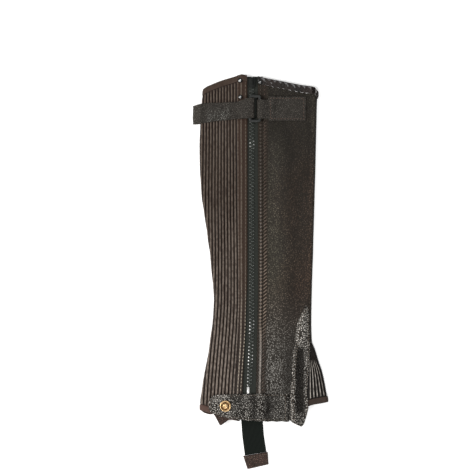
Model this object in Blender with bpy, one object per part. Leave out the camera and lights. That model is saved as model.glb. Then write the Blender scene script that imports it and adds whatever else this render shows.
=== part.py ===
# A riding half chap laid flat, zip side up, inner side on the floor.
# X runs from the back fold to the front fold, Y from the foot to the knee, Z is up from the floor.
# Sizes are in millimetres. Meshes are written in metres.

import math
from collections import namedtuple

import bmesh
import bpy
import numpy as np
from mathutils import Vector
from mathutils.bvhtree import BVHTree

MM = 0.001
SEAM = 0.3  # left between neighbouring pieces

# Cloth and leather
LEATHER = 1.5
STRETCH = 1.2  # stretch cloth between its ribs
RIB = 0.9  # how far a rib stands out of the stretch cloth
RIBS = 15
BINDING = 0.8
LEATHER_LIP = 8.0  # how far a binding reaches down the wall
STRETCH_LIP = 6.0
RIB_START = 2.0  # a rib grows over this length next to a binding
STRAP = 1.3
TAB = 1.4
TOE_PATCH = 1.3
PIPING = 2.4

# The two layers of the flat tube
UPPER_INSIDE = 4.6  # height of the upper layer's inner face
SAG = 1.2  # the upper layer sinks this far between the folds
FOLD = 3.2  # reach of each fold beyond its flat part
NOTCH = 3.7  # the main panel stops this far before the fold, below the gusset's top
GUSSET_TOP = -85.0

# Zip
CHAIN = 5.4
CHAIN_BELOW = 1.5
CHAIN_ABOVE = 0.9
TAPE = 0.6
TAPE_HIDDEN = 6.0  # tape sewn under each edge
CHAIN_TOP = 221.0
CHAIN_BOTTOM = -137.4
PIN = 3.1
PIN_BOTTOM = -148.6
BOX_BOTTOM = -158.0

# Stirrup strap
ELASTIC = 1.2
ANCHOR = 0.9

Section = namedtuple("Section", "y back under_seam rib_edge pitch zip_left zip_mid zip_right front")
SECTIONS = [
    Section(240, -66.3, -49.5, -26.8, 3.60, -15.8, -9.7, -2.8, 69.6),
    Section(221, -67.6, -50.0, -26.8, 3.60, -15.6, -9.7, -2.8, 69.0),
    Section(205, -69.3, -51.0, -26.8, 3.60, -15.5, -9.7, -2.8, 68.4),
    Section(175, -71.2, -52.5, -26.8, 3.60, -15.4, -9.7, -2.7, 67.7),
    Section(150, -72.2, -53.0, -26.8, 3.60, -15.4, -9.7, -2.6, 67.1),
    Section(123, -71.7, -52.0, -26.8, 3.60, -15.4, -9.7, -2.6, 66.5),
    Section(88, -69.3, -48.5, -26.8, 3.60, -15.4, -9.7, -2.6, 65.5),
    Section(62, -65.4, -42.5, -26.8, 3.60, -15.4, -9.7, -2.5, 64.8),
    Section(40, -62.3, -38.0, -26.8, 3.62, -15.4, -9.7, -2.5, 64.1),
    Section(22, -59.8, -34.5, -26.8, 3.66, -15.4, -9.7, -2.4, 63.7),
    Section(3, -57.8, -31.5, -26.7, 3.70, -15.4, -9.8, -2.4, 63.0),
    Section(-16, -56.2, -29.5, -26.5, 3.73, -15.8, -10.0, -2.5, 62.4),
    Section(-32, -54.9, -29.0, -26.4, 3.76, -16.4, -10.2, -2.7, 62.0),
    Section(-61, -56.6, -31.0, -26.9, 3.82, -17.6, -10.8, -3.3, 61.6),
    Section(-83, -59.6, -34.5, -27.5, 3.88, -18.6, -11.6, -3.8, 62.3),
    Section(-94, -61.2, -36.6, -27.9, 3.92, -19.1, -12.2, -4.0, 66.3),
    Section(-108, -63.8, -40.0, -28.4, 3.97, -19.7, -13.0, -4.3, 70.4),
    Section(-119, -65.8, -43.0, -28.8, 4.00, -20.1, -13.7, -4.5, 74.2),
    Section(-140, -69.3, -48.0, -29.6, 4.05, -21.0, -14.4, -5.0, 78.7),
    Section(-158, -71.6, -51.5, -30.2, 4.10, -21.8, -14.6, -5.4, 81.0),
    Section(-190, -71.6, -54.0, -31.2, 4.10, -23.0, -14.8, -6.0, 81.0),
]

# Edges of the two layers, bindings included
Edge = namedtuple("Edge", "x y")
UPPER_TOP = [
    Edge(-71, 219.5), Edge(-67.6, 220.9), Edge(-62.7, 223.1), Edge(-46.6, 229.6), Edge(-30.7, 234.4),
    Edge(-22, 237.2), Edge(-15.8, 236.2), Edge(-7.6, 235.9), Edge(3.9, 233.3), Edge(24.3, 229.3),
    Edge(49.4, 224.4), Edge(65, 222.0), Edge(69, 217.5),
]
UNDER_TOP = [
    Edge(-71, 218.5), Edge(-64, 217.5), Edge(-48, 213.0), Edge(-20, 209.2), Edge(10, 208.8),
    Edge(40, 212.5), Edge(60, 216.5), Edge(69, 217.0),
]
UPPER_BOTTOM = [
    Edge(-72, -165.4), Edge(-68, -166.8), Edge(-60, -169.2), Edge(-40, -172.0), Edge(-20, -175.0),
    Edge(-5, -177.4), Edge(30, -178.5), Edge(40, -180.6), Edge(47, -183.6), Edge(52, -182.4), Edge(58, -168.0),
]
UNDER_BOTTOM = [
    Edge(-72, -166.4), Edge(-67, -169.6), Edge(-60, -171.4), Edge(-46, -167.0), Edge(-22, -157.4),
    Edge(0, -154.0), Edge(25, -154.6), Edge(48, -158.2), Edge(60, -160.0),
]
GUSSET_BOTTOM = [Edge(55, -162.4), Edge(62.7, -159.6), Edge(72, -157.8), Edge(82, -156.0)]

# Seam between the main panel and the gusset, the same above and below
FrontSeam = namedtuple("FrontSeam", "y x")
FRONT_SEAM = [
    FrontSeam(-190, 49.5), FrontSeam(-183, 51.6), FrontSeam(-176, 54.4), FrontSeam(-170, 55.8),
    FrontSeam(-162, 56.6), FrontSeam(-148, 55.8), FrontSeam(-124, 56.6), FrontSeam(-108, 57.2),
    FrontSeam(-95, 57.0), FrontSeam(GUSSET_TOP, 55.6),
]

ROWS = [
    -138, -128, -118, -107, -96, GUSSET_TOP, -70, -54, -38, -20, 0, 20, 42, 64, 88, 112, 133, 153, 172, 190,
]
GUSSET_ROWS = [-146, -138, -128, -118, -107, -101, -96]

# Places where something lies under the lower layer and lifts it
Pad = namedtuple("Pad", "left right low high height ramp")
STRAP_PAD = Pad(-90, -57, 172, 210, STRAP + SEAM, 12)
ANCHOR_PAD = Pad(-28, 4, -170, -122, ANCHOR + ELASTIC + 2 * SEAM, 14)
ANCHOR_RISE = 1.4  # the upper layer rises this far over the anchor

# Patches: a row or a column for each place where the outline turns
Row = namedtuple("Row", "y left right")
TOE_ROWS = [
    Row(-185.4, 48.6, 50.4), Row(-183.6, 44.8, 51.6), Row(-181.2, 39.6, 53.0), Row(-179.4, 37.2, 53.6),
    Row(-175.2, 36.8, 54.8), Row(-169.2, 36.6, 56.5), Row(-160.8, 35.8, 58.0), Row(-154.0, 36.0, 57.0),
    Row(-147.6, 36.1, 56.4), Row(-139.0, 36.7, 56.8), Row(-130.8, 37.3, 57.4), Row(-122.0, 37.8, 58.0),
    Row(-114.0, 38.2, 58.4), Row(-106.8, 38.9, 58.8), Row(-100.0, 39.6, 59.4), Row(-94.8, 40.1, 59.8),
    Row(-88.0, 41.2, 59.6), Row(-82.8, 42.1, 59.2), Row(-75.0, 42.8, 59.0), Row(-67.0, 43.6, 58.9),
    Row(-59.4, 44.8, 58.8), Row(-54.0, 47.6, 58.6), Row(-48.0, 50.8, 58.0), Row(-40.6, 54.4, 56.4),
]
Column = namedtuple("Column", "x low high")
TAB_COLUMNS = [
    Column(-61.6, -163.2, -156.0), Column(-60.6, -166.0, -152.6), Column(-58.6, -168.4, -149.8),
    Column(-55.4, -170.4, -148.0), Column(-48.0, -172.6, -146.8), Column(-40.0, -174.2, -146.4),
    Column(-32.0, -175.6, -146.2), Column(-24.0, -176.6, -146.0), Column(-16.0, -177.6, -145.8),
    Column(-8.0, -178.4, -145.6), Column(2.0, -179.0, -145.6), Column(12.0, -179.2, -145.6),
    Column(22.0, -179.3, -145.6), Column(34.6, -179.4, -145.6),
]
SNAP_BASE_COLUMNS = [
    Column(-56.4, -169.6, -153.0), Column(-54.4, -172.6, -151.0), Column(-51.0, -178.6, -150.0),
    Column(-47.8, -183.8, -150.0), Column(-42.0, -180.2, -150.0), Column(-36.0, -177.0, -150.0),
    Column(-30.0, -177.8, -150.0), Column(-24.6, -178.8, -150.0),
]

# Strips that lie on the floor: left and right ends of each line across, and its underside's height
Line = namedtuple("Line", "left_x left_y right_x right_y z")
ELASTIC_LINES = [
    Line(-25.8, -128.0, 0.2, -128.0, 1.2), Line(-25.4, -140.0, 0.6, -140.0, 1.2),
    Line(-24.8, -153.0, 1.2, -153.0, 1.2), Line(-24.2, -159.0, 1.8, -159.0, 0.8),
    Line(-23.6, -166.0, 2.4, -166.0, 0.1), Line(-22.8, -178.0, 3.2, -178.0, 0.0),
    Line(-21.4, -197.8, 4.7, -196.8, 0.0), Line(-19.6, -211.6, 6.4, -208.4, 0.0),
    Line(-18.4, -221.0, 7.6, -216.6, 0.0),
]
TIP_LINES = [
    Line(-20.4, -221.7, 9.2, -216.6, 0.0), Line(-18.8, -226.4, 9.6, -221.4, 0.0),
    Line(-17.0, -231.8, 9.9, -226.4, 0.0), Line(-15.2, -237.2, 10.2, -231.4, 0.0),
]
ANCHOR_LINES = [Line(-26.4, -152.6, 1.6, -152.6, 0.0), Line(-26.8, -126.0, 0.8, -126.0, 0.0)]

# Edges of the top strap
StrapEdge = namedtuple("StrapEdge", "x low high")
STRAP_EDGES = [
    StrapEdge(-81.0, 177.0, 199.0), StrapEdge(-73.4, 177.6, 201.2), StrapEdge(-62.6, 179.4, 202.6),
    StrapEdge(-45.0, 181.4, 203.0), StrapEdge(-30.2, 183.0, 203.5), StrapEdge(-24.0, 183.6, 205.2),
    StrapEdge(-14.6, 184.2, 208.2), StrapEdge(-6.0, 184.6, 208.4),
]

# Ring and what passes through it
RING_LEFT, RING_RIGHT = -13.4, 1.0
RING_LOW, RING_HIGH = 179.4, 211.9
RING_BAR = 3.0
RING_THICK = 2.2
NECK_LOW, NECK_HIGH = 183.6, 206.4
RING_TAB_LOW, RING_TAB_HIGH = 181.2, 210.6
RING_TAB_END = 54.4

Rivet = namedtuple("Rivet", "x y")
RIVETS = [Rivet(-24.2, 229.6), Rivet(-0.2, 227.4), Rivet(-23.9, 209.8)]
RIVET_RADIUS = 2.8
SNAP_X, SNAP_Y = -41.7, -160.1

# Name, base colour, roughness, metallic
FINISHES = {
    "leather": ((0.045, 0.035, 0.029), 0.5, 0.0),
    "coarse_leather": ((0.042, 0.035, 0.030), 0.42, 0.0),
    "stretch": ((0.050, 0.037, 0.030), 0.75, 0.0),
    "binding": ((0.062, 0.040, 0.031), 0.6, 0.0),
    "shiny_leather": ((0.040, 0.034, 0.030), 0.25, 0.0),
    "zip_tape": ((0.012, 0.013, 0.012), 0.85, 0.0),
    "black_plastic": ((0.014, 0.015, 0.014), 0.4, 0.0),
    "brass": ((0.62, 0.42, 0.22), 0.3, 1.0),
    "dark_metal": ((0.03, 0.03, 0.03), 0.2, 1.0),
    "bright_metal": ((0.75, 0.75, 0.74), 0.25, 1.0),
    "elastic": ((0.013, 0.014, 0.013), 0.9, 0.0),
}


class Curve:
    # A smooth curve through a table's column that never overshoots it.
    def __init__(self, table, along, wanted):
        rows = sorted(table, key=lambda row: getattr(row, along))
        self.at = np.array([getattr(row, along) for row in rows], float)
        self.value = np.array([getattr(row, wanted) for row in rows], float)
        rise = np.diff(self.value) / np.diff(self.at)
        same_way = rise[:-1] * rise[1:] > 0
        total = np.where(same_way, rise[:-1] + rise[1:], 1.0)
        inner = np.where(same_way, 2 * rise[:-1] * rise[1:] / total, 0.0)
        self.slope = np.concatenate([rise[:1], inner, rise[-1:]])

    def __call__(self, t):
        t = min(max(t, self.at[0]), self.at[-1])
        i = min(max(int(np.searchsorted(self.at, t)) - 1, 0), len(self.at) - 2)
        h = self.at[i + 1] - self.at[i]
        s = (t - self.at[i]) / h
        start = self.value[i] * (1 + 2 * s) + self.slope[i] * h * s
        end = self.value[i + 1] * (3 - 2 * s) - self.slope[i + 1] * h * (1 - s)
        return float(start * (1 - s) ** 2 + end * s * s)


back = Curve(SECTIONS, "y", "back")
front = Curve(SECTIONS, "y", "front")
under_seam = Curve(SECTIONS, "y", "under_seam")
rib_edge = Curve(SECTIONS, "y", "rib_edge")
rib_pitch = Curve(SECTIONS, "y", "pitch")
zip_left = Curve(SECTIONS, "y", "zip_left")
zip_mid = Curve(SECTIONS, "y", "zip_mid")
zip_right = Curve(SECTIONS, "y", "zip_right")
upper_top = Curve(UPPER_TOP, "x", "y")
under_top = Curve(UNDER_TOP, "x", "y")
upper_bottom = Curve(UPPER_BOTTOM, "x", "y")
under_bottom = Curve(UNDER_BOTTOM, "x", "y")
gusset_bottom = Curve(GUSSET_BOTTOM, "x", "y")
front_seam = Curve(FRONT_SEAM, "y", "x")


def mix(a, b, t):
    return a + (b - a) * t


def ramp(low, high, t):
    s = min(max((t - low) / (high - low), 0.0), 1.0)
    return s * s * (3 - 2 * s)


def pad_share(pad, x, y):
    # 1 on the pad, falling to 0 over its ramp.
    across = ramp(pad.left - pad.ramp, pad.left, x) * (1 - ramp(pad.right, pad.right + pad.ramp, x))
    along = ramp(pad.low - pad.ramp, pad.low, y) * (1 - ramp(pad.high, pad.high + pad.ramp, y))
    return across * along


def lift(x, y):
    # Height of the lower layer's underside: 0, but for the bindings, strap and anchor below it.
    lip = LEATHER_LIP + RIB_START
    from_edge = min(under_top(x) - y, y - under_bottom(x))
    bound = (BINDING + SEAM) * (1 - ramp(lip, lip + 9, from_edge))
    under_strap = STRAP_PAD.height * pad_share(STRAP_PAD, x, y)
    over_anchor = ANCHOR_PAD.height * pad_share(ANCHOR_PAD, x, y)
    return max(bound, under_strap, over_anchor)


def toe_relief(x, y):
    # The trough down the toe patch, and the ridge on each side of it.
    trough = max(0.0, 1 - ((x - 48.8) / 6.5) ** 2) ** 2
    ridges = math.exp(-(((x - 40.0) / 3.5) ** 2)) + math.exp(-(((x - 57.0) / 3.5) ** 2))
    along = ramp(-66, -100, y)
    return along * (0.5 * ridges - 1.3 * trough)


def upper_inside(x, y):
    # Height of the upper layer's inner face.
    across = ramp(0, 30, x - back(y)) * ramp(0, 30, front(y) - x)
    along = ramp(-112, -50, y) * (1 - ramp(110, 166, y))
    rise = ANCHOR_RISE * pad_share(ANCHOR_PAD, x, y)
    return UPPER_INSIDE + rise - SAG * across * along + toe_relief(x, y)


def round_fold(x, y, wall, turn, out, side):
    # A point of a fold that starts at x. turn is 0 at the top and 1 underneath, side -1 for the back.
    high, low = upper_inside(x, y) + wall, lift(x, y)
    angle = turn * math.pi
    return (
        x + side * (FOLD + out) * math.sin(angle),
        (high + low) / 2 + ((high - low) / 2 + out) * math.cos(angle),
    )


def panel_front(y):
    # Where the main panel's flat part ends: near the fold above the gusset, at its seam beside it.
    return front(y) - FOLD - NOTCH if y >= GUSSET_TOP - 0.01 else front_seam(y)


def leather_at(place, y, out):
    # x, z and how far under a point of the main panel is. place is (kind, share).
    kind, share = place
    if kind == "upper":
        x = mix(zip_right(y), panel_front(y), share)
        return x, upper_inside(x, y) + LEATHER + out, 0.0
    if kind == "fold":
        x, z = round_fold(front(y) - FOLD, y, LEATHER, share, out, 1)
        return x, z, share
    x = mix(panel_front(y), under_seam(y) + PIPING / 2 + SEAM, share)
    return x, lift(x, y) - out, 1.0


def stretch_at(place, y, out):
    # The same for the stretch panel. Ribs are counted from the margin beside the zip.
    kind, share = place
    if kind == "margin":
        x = mix(zip_left(y), rib_edge(y), share)
        return x, upper_inside(x, y) + STRETCH + out, 0.0
    start = back(y) + FOLD
    on_top = rib_edge(y) - start
    round_it = math.pi * FOLD
    ribbed = RIBS * rib_pitch(y)
    whole = on_top + round_it + under_seam(y) - PIPING / 2 - SEAM - start
    along = share * rib_pitch(y) if kind == "rib" else mix(ribbed, whole, share)
    if along <= on_top:
        x = rib_edge(y) - along
        return x, upper_inside(x, y) + STRETCH + out, 0.0
    if along <= on_top + round_it:
        turn = (along - on_top) / round_it
        x, z = round_fold(start, y, STRETCH, turn, out, -1)
        return x, z, turn
    x = start + along - on_top - round_it
    return x, lift(x, y) - out, 1.0


def gusset_at(place, y, out):
    kind, share = place
    start = front_seam(y) + SEAM
    fold = front(y) - FOLD
    if kind == "upper":
        x = mix(start, fold, share)
        return x, upper_inside(x, y) + STRETCH + out, 0.0
    if kind == "fold":
        x, z = round_fold(fold, y, STRETCH, share, out, 1)
        return x, z, share
    x = mix(fold, start, share)
    return x, lift(x, y) - out, 1.0


def edge_of(at, place, upper, under, inset):
    # The y of an edge at one column, less what its binding takes.
    y = upper(0)
    for _ in range(4):
        x, _, turn = at(place, y, 0)
        y = mix(upper(x), under(x), turn)
    return y - inset


def material(finish):
    found = bpy.data.materials.get(finish)
    if found:
        return found
    colour, roughness, metallic = FINISHES[finish]
    made = bpy.data.materials.new(finish)
    made.use_nodes = True
    shader = made.node_tree.nodes["Principled BSDF"]
    shader.inputs["Base Color"].default_value = (*colour, 1)
    shader.inputs["Roughness"].default_value = roughness
    shader.inputs["Metallic"].default_value = metallic
    made.diffuse_color = (*colour, 1)
    return made


def finish_object(name, shape, finish, smooth=False):
    bmesh.ops.recalc_face_normals(shape, faces=shape.faces)
    mesh = bpy.data.meshes.new(name)
    shape.to_mesh(mesh)
    shape.free()
    own = material(finish).copy()
    own.name = name
    mesh.materials.append(own)
    if smooth:
        mesh.shade_smooth()
        mesh.set_sharp_from_angle(angle=math.radians(40))
    thing = bpy.data.objects.new(name, mesh)
    bpy.context.scene.collection.objects.link(thing)
    return thing


def wall(name, outer, inner, finish, keep=None):
    # A closed wall between two grids of points, over the grid squares that keep allows.
    rows, columns = len(outer), len(outer[0])
    squares = [(r, c) for r in range(rows - 1) for c in range(columns - 1) if keep is None or keep(r, c)]
    used = sorted({(r + i, c + j) for r, c in squares for i in (0, 1) for j in (0, 1)})
    shape = bmesh.new()
    face_points = [
        {(r, c): shape.verts.new(Vector(grid[r][c]) * MM) for r, c in used} for grid in (outer, inner)
    ]
    border = set()
    for r, c in squares:
        ring = [(r, c), (r, c + 1), (r + 1, c + 1), (r + 1, c)]
        shape.faces.new([face_points[0][k] for k in ring])
        shape.faces.new([face_points[1][k] for k in reversed(ring)])
        for a, b in zip(ring, ring[1:] + ring[:1]):
            if (b, a) in border:
                border.remove((b, a))
            else:
                border.add((a, b))
    for a, b in sorted(border):
        shape.faces.new([face_points[0][b], face_points[0][a], face_points[1][a], face_points[1][b]])
    return finish_object(name, shape, finish, smooth=True)


def tube_of_rings(name, rings, finish):
    # A closed solid through rings of points with the same count, capped at both ends.
    shape = bmesh.new()
    loops = [[shape.verts.new(Vector(p) * MM) for p in ring] for ring in rings]
    count = len(loops[0])
    for a, b in zip(loops, loops[1:]):
        for i in range(count):
            j = (i + 1) % count
            shape.faces.new([a[i], a[j], b[j], b[i]])
    shape.faces.new(loops[0])
    shape.faces.new(list(reversed(loops[-1])))
    return finish_object(name, shape, finish, smooth=True)


def panel_rows(low, high, lip):
    ends = [low, low + lip, low + lip + RIB_START]
    tops = [high - lip - RIB_START, high - lip, high]
    return ends + ROWS + tops


def panel_grids(at, places, edges, lip, wall_thickness, raised):
    # Outer and inner points of a panel. raised gives a place's height over the wall, from its turn.
    outer, inner = [], []
    columns = []
    for place in places:
        top = edge_of(at, place, edges[0], edges[1], BINDING + SEAM)
        bottom = edge_of(at, place, edges[2], edges[3], -BINDING - SEAM)
        columns.append(panel_rows(bottom, top, lip))
    last = len(columns[0]) - 1
    for r in range(last + 1):
        out_row, in_row = [], []
        for place, ys in zip(places, columns):
            y = ys[r]
            bound = r in (0, 1, last - 1, last)
            turn = at(place, y, 0)[2]
            height = 0.0 if bound else raised(place, turn)
            x, z, _ = at(place, y, height)
            out_row.append((x, y, z))
            x, z, _ = at(place, y, -wall_thickness)
            in_row.append((x, y, z))
        outer.append(out_row)
        inner.append(in_row)
    return outer, inner


LEATHER_PLACES = (
    [("upper", k / 11) for k in range(12)]
    + [("fold", k / 6) for k in range(7)]
    + [("under", k / 10) for k in range(11)]
)
STRETCH_PLACES = (
    [("margin", k / 2) for k in range(2)]
    + [("rib", k / 2) for k in range(2 * RIBS + 1)]
    + [("plain", k / 2) for k in (1, 2)]
)
GUSSET_RIBS = 5
GUSSET_PLACES = (
    [("upper", k / (2 * GUSSET_RIBS)) for k in range(2 * GUSSET_RIBS)]
    + [("fold", k / 6) for k in range(7)]
    + [("under", k / 4) for k in range(1, 5)]
)


def make_leather_body():
    last_upper = LEATHER_PLACES.index(("upper", 1.0))
    first_under = LEATHER_PLACES.index(("under", 0.0))
    gusset_row = 3 + ROWS.index(GUSSET_TOP)

    def keep(row, column):
        return row >= gusset_row or not last_upper <= column < first_under

    edges = (upper_top, under_top, upper_bottom, under_bottom)
    outer, inner = panel_grids(
        leather_at, LEATHER_PLACES, edges, LEATHER_LIP, LEATHER, lambda place, turn: 0.0
    )
    return wall("leather_body", outer, inner, "leather", keep)


def rib_height(place, turn):
    kind, share = place
    if kind == "margin":
        return 0.5
    crest = kind == "rib" and round(2 * share) % 2 == 1
    return RIB * (1 - ramp(0.35, 0.85, turn)) if crest else 0.0


def make_stretch_back():
    edges = (upper_top, under_top, upper_bottom, under_bottom)
    outer, inner = panel_grids(stretch_at, STRETCH_PLACES, edges, STRETCH_LIP, STRETCH, rib_height)
    return wall("stretch_back", outer, inner, "stretch")


def make_gusset():
    outer, inner = [], []
    bottoms = [
        edge_of(gusset_at, place, gusset_bottom, gusset_bottom, -BINDING - SEAM) for place in GUSSET_PLACES
    ]
    rows = [[y] * len(GUSSET_PLACES) for y in GUSSET_ROWS]
    rows = [bottoms, [y + STRETCH_LIP for y in bottoms]] + rows + [[GUSSET_TOP - SEAM] * len(GUSSET_PLACES)]
    for r, ys in enumerate(rows):
        out_row, in_row = [], []
        for i, (place, y) in enumerate(zip(GUSSET_PLACES, ys)):
            turn = gusset_at(place, y, 0)[2]
            ribbed = i % 2 == 1 and place[0] != "under" and r > 1
            height = RIB * (1 - ramp(0.2, 0.8, turn)) * ramp(-92, -112, y) if ribbed else 0.0
            x, z, _ = gusset_at(place, y, height)
            out_row.append((x, y, z))
            x, z, _ = gusset_at(place, y, -STRETCH)
            in_row.append((x, y, z))
        outer.append(out_row)
        inner.append(in_row)
    return wall("gusset", outer, inner, "stretch")


def make_binding(name, at, places, upper, under, side, lip, wall_thickness, finish):
    # An edge binding: it lies on the wall's outer face and turns over its edge. side is 1 at the top.
    inset = side * (BINDING + SEAM)
    corners = [
        (SEAM + BINDING, -lip), (SEAM + BINDING, SEAM + BINDING), (-wall_thickness, SEAM + BINDING),
        (-wall_thickness, SEAM), (SEAM, SEAM), (SEAM, -lip),
    ]
    rings = []
    for place in places:
        edge = edge_of(at, place, upper, under, inset)
        ring = []
        for out, beyond in corners:
            y = edge + side * beyond
            x, z, _ = at(place, edge + side * min(beyond, 0.0), out)
            ring.append((x, y, z))
        rings.append(ring)
    return tube_of_rings(name, rings, finish)


def make_piping():
    # The cord in the underside seam, flattened by what lies on it.
    rings = []
    bottom = edge_of(leather_at, ("under", 1.0), under_bottom, under_bottom, -BINDING - SEAM)
    top = edge_of(leather_at, ("under", 1.0), under_top, under_top, BINDING + SEAM)
    for y in panel_rows(bottom, top, LEATHER_LIP):
        x = under_seam(y)
        z = lift(x, y)
        half, high = PIPING / 2 - 0.1, LEATHER + 0.5
        section = [(-half, 0.2), (-half + 0.4, 0), (half - 0.4, 0), (half, 0.2), (half, high - 0.6), (0, high),
                   (-half, high - 0.6)]
        rings.append([(x + dx, y, z + dz) for dx, dz in section])
    return tube_of_rings("seam_piping", rings, "binding")


def zip_rows(low, high):
    return [low] + [y for y in ROWS if low + 4 < y < high - 4] + [high]


def make_tape(name, side):
    # side -1 is the tape under the stretch panel's margin.
    outer, inner = [], []
    for y in zip_rows(-168, 231):
        near = zip_mid(y) + side * (CHAIN / 2 + SEAM)
        far = (zip_left(y) if side < 0 else zip_right(y)) + side * TAPE_HIDDEN
        across = [mix(near, far, share) for share in (0, 0.5, 1)]
        outer.append([(x, y, upper_inside(x, y) - SEAM) for x in across])
        inner.append([(x, y, upper_inside(x, y) - SEAM - TAPE) for x in across])
    return wall(name, outer, inner, "zip_tape")


def make_zip_strip(name, low, high, width, below, above, finish):
    rings = []
    for y in zip_rows(low, high):
        x = zip_mid(y)
        z = upper_inside(x, y)
        half = width / 2
        section = [(-half, -below), (half, -below), (half, above - 0.4), (half - 0.5, above),
                   (-half + 0.5, above), (-half, above - 0.4)]
        rings.append([(x + dx, y, z + dz) for dx, dz in section])
    return tube_of_rings(name, rings, finish)


def make_slider():
    # Body with a waist, and the low bridge over it, as one solid.
    y = CHAIN_TOP + SEAM
    x, z = zip_mid(y), upper_inside(zip_mid(y), y)
    outline = [(-3.4, 0), (3.4, 0), (3.8, 3.5), (4.6, 8.0), (4.4, 11.0), (2.4, 12.4), (-2.4, 12.4), (-4.4, 11.0),
               (-4.6, 8.0), (-3.8, 3.5)]
    levels = [(0.0, 0.92), (0.4, 1.0), (2.0, 1.0), (2.6, 0.9)]
    rings = []
    for dz, share in levels:
        rings.append([(x + dx * share, y + 6.2 + (dy - 6.2) * share, z + dz) for dx, dy in outline])
    slider = tube_of_rings("zip_slider", rings, "black_plastic")
    profile = [(2.0, 2.3), (3.2, 3.8), (5.0, 4.4), (8.4, 4.4), (10.4, 3.6), (11.2, 2.3), (9.6, 2.3), (9.0, 3.0),
               (7.6, 3.3), (5.6, 3.3), (4.4, 3.0), (4.0, 2.3)]
    sides = [[(x + half, y + dy, z + dz) for dy, dz in profile] for half in (-1.1, 1.1)]
    bridge = tube_of_rings("slider_bridge", sides, "black_plastic")
    bridge.hide_render = True
    bridge.display_type = "WIRE"
    join = slider.modifiers.new("bridge", "BOOLEAN")
    join.operation = "UNION"
    join.object = bridge
    return slider


class Surface:
    # The top of what is built so far, to lay the next piece on.
    def __init__(self, things):
        points, faces = [], []
        for thing in things:
            start = len(points)
            points += [v.co / MM for v in thing.data.vertices]
            faces += [[start + i for i in face.vertices] for face in thing.data.polygons]
        self.tree = BVHTree.FromPolygons(points, faces)

    def height(self, x, y):
        hit = self.tree.ray_cast(Vector((x, y, 100)), Vector((0, 0, -1)))
        return hit[0].z if hit[0] else -1.0

    def highest(self, x, y, reach):
        # The highest point within reach, or further off where a piece hangs past an edge.
        steps = (-1, -0.5, 0, 0.5, 1)
        for wider in (1, 2, 4):
            found = max(self.height(x + i * reach * wider, y + j * reach * wider) for i in steps for j in steps)
            if found > UPPER_INSIDE - 1:
                return found
        return UPPER_INSIDE


def patch(name, grid, thickness, surface, finish, reach=2.4, over=SEAM):
    # A piece laid on the surface, from the x and y of its points, its edges turned down a little.
    low, high = [], []
    for r, row in enumerate(grid):
        low_row, high_row = [], []
        for c, (x, y) in enumerate(row):
            z = surface.highest(x, y, reach) + over
            at_edge = r in (0, len(grid) - 1) or c in (0, len(row) - 1)
            low_row.append((x, y, z))
            high_row.append((x, y, z + thickness * (0.72 if at_edge else 1)))
        low.append(low_row)
        high.append(high_row)
    return wall(name, high, low, finish)


def grid_of_rows(rows, shares):
    return [[(mix(row.left, row.right, share), row.y) for share in shares] for row in rows]


def grid_of_columns(columns, shares):
    return [[(column.x, mix(column.low, column.high, share)) for share in shares] for column in columns]


EDGE_SHARES = (0, 0.05, 0.28, 0.5, 0.72, 0.95, 1)


def make_strip(name, lines, thickness, finish, shares=(0, 0.04, 0.5, 0.96, 1)):
    low, high = [], []
    for line in lines:
        points = [
            (mix(line.left_x, line.right_x, share), mix(line.left_y, line.right_y, share)) for share in shares
        ]
        low.append([(x, y, line.z) for x, y in points])
        high.append(
            [(x, y, line.z + thickness * (0.8 if share in (0, 1) else 1)) for (x, y), share in zip(points, shares)]
        )
    return wall(name, high, low, finish)


# A strap's route: the middle of its thickness, and its two edges
Station = namedtuple("Station", "x z low high")


def make_strap(name, stations, thickness, finish):
    # A flat strap through its stations, its thickness square to the route.
    middle = np.array([(s.x, s.z) for s in stations], float)
    ahead = np.gradient(middle, axis=0)
    ahead /= np.linalg.norm(ahead, axis=1)[:, None]
    side = np.stack([-ahead[:, 1], ahead[:, 0]], axis=1) * thickness / 2
    rings = []
    for s, (px, pz), (sx, sz) in zip(stations, middle, side):
        rings.append([
            (px + sx, s.low, pz + sz), (px + sx, s.high, pz + sz), (px - sx, s.high, pz - sz),
            (px - sx, s.low, pz - sz),
        ])
    return tube_of_rings(name, rings, finish)


def arc(centre_x, centre_z, radius_x, radius_z, start, end, count):
    # Points round part of an ellipse. Angles are in degrees from +X towards +Z.
    angles = [math.radians(mix(start, end, k / (count - 1))) for k in range(count)]
    return [(centre_x + radius_x * math.cos(a), centre_z + radius_z * math.sin(a)) for a in angles]


strap_low = Curve(STRAP_EDGES, "x", "low")
strap_high = Curve(STRAP_EDGES, "x", "high")


def make_top_strap(surface, ring_z):
    half = STRAP / 2
    crest = max(surface.highest(x, 192, 9) for x in (-64, -56, -48, -40, -32, -24)) + SEAM + half
    over_tail = surface.highest(-14, 196, 9) + SEAM + half
    route = [(-61.5, half), (-68, half), (-74.5, half)]
    route += arc(-77.6, 3.3, 2.65, 2.65, 270, 90, 7)
    route += [(-74.8, 6.9), (-71.5, 8.5), (-67.5, crest), (-58, crest), (-48, crest)]
    route += [(-42, crest + 0.4), (-36, crest + 1.7), (-26, crest + 1.7), (-18, ring_z + 2.1)]
    route += [(-14, ring_z + 2.2)]
    route += arc(-10.0, ring_z, 2.6, 2.2, 90, -90, 7)
    route += [(-14, over_tail), (-18.5, max(over_tail, crest)), (-24, crest), (-33, crest)]
    stations = [Station(x, z, strap_low(x), strap_high(x)) for x, z in route]
    return make_strap("top_strap", stations, STRAP, "leather")


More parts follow.
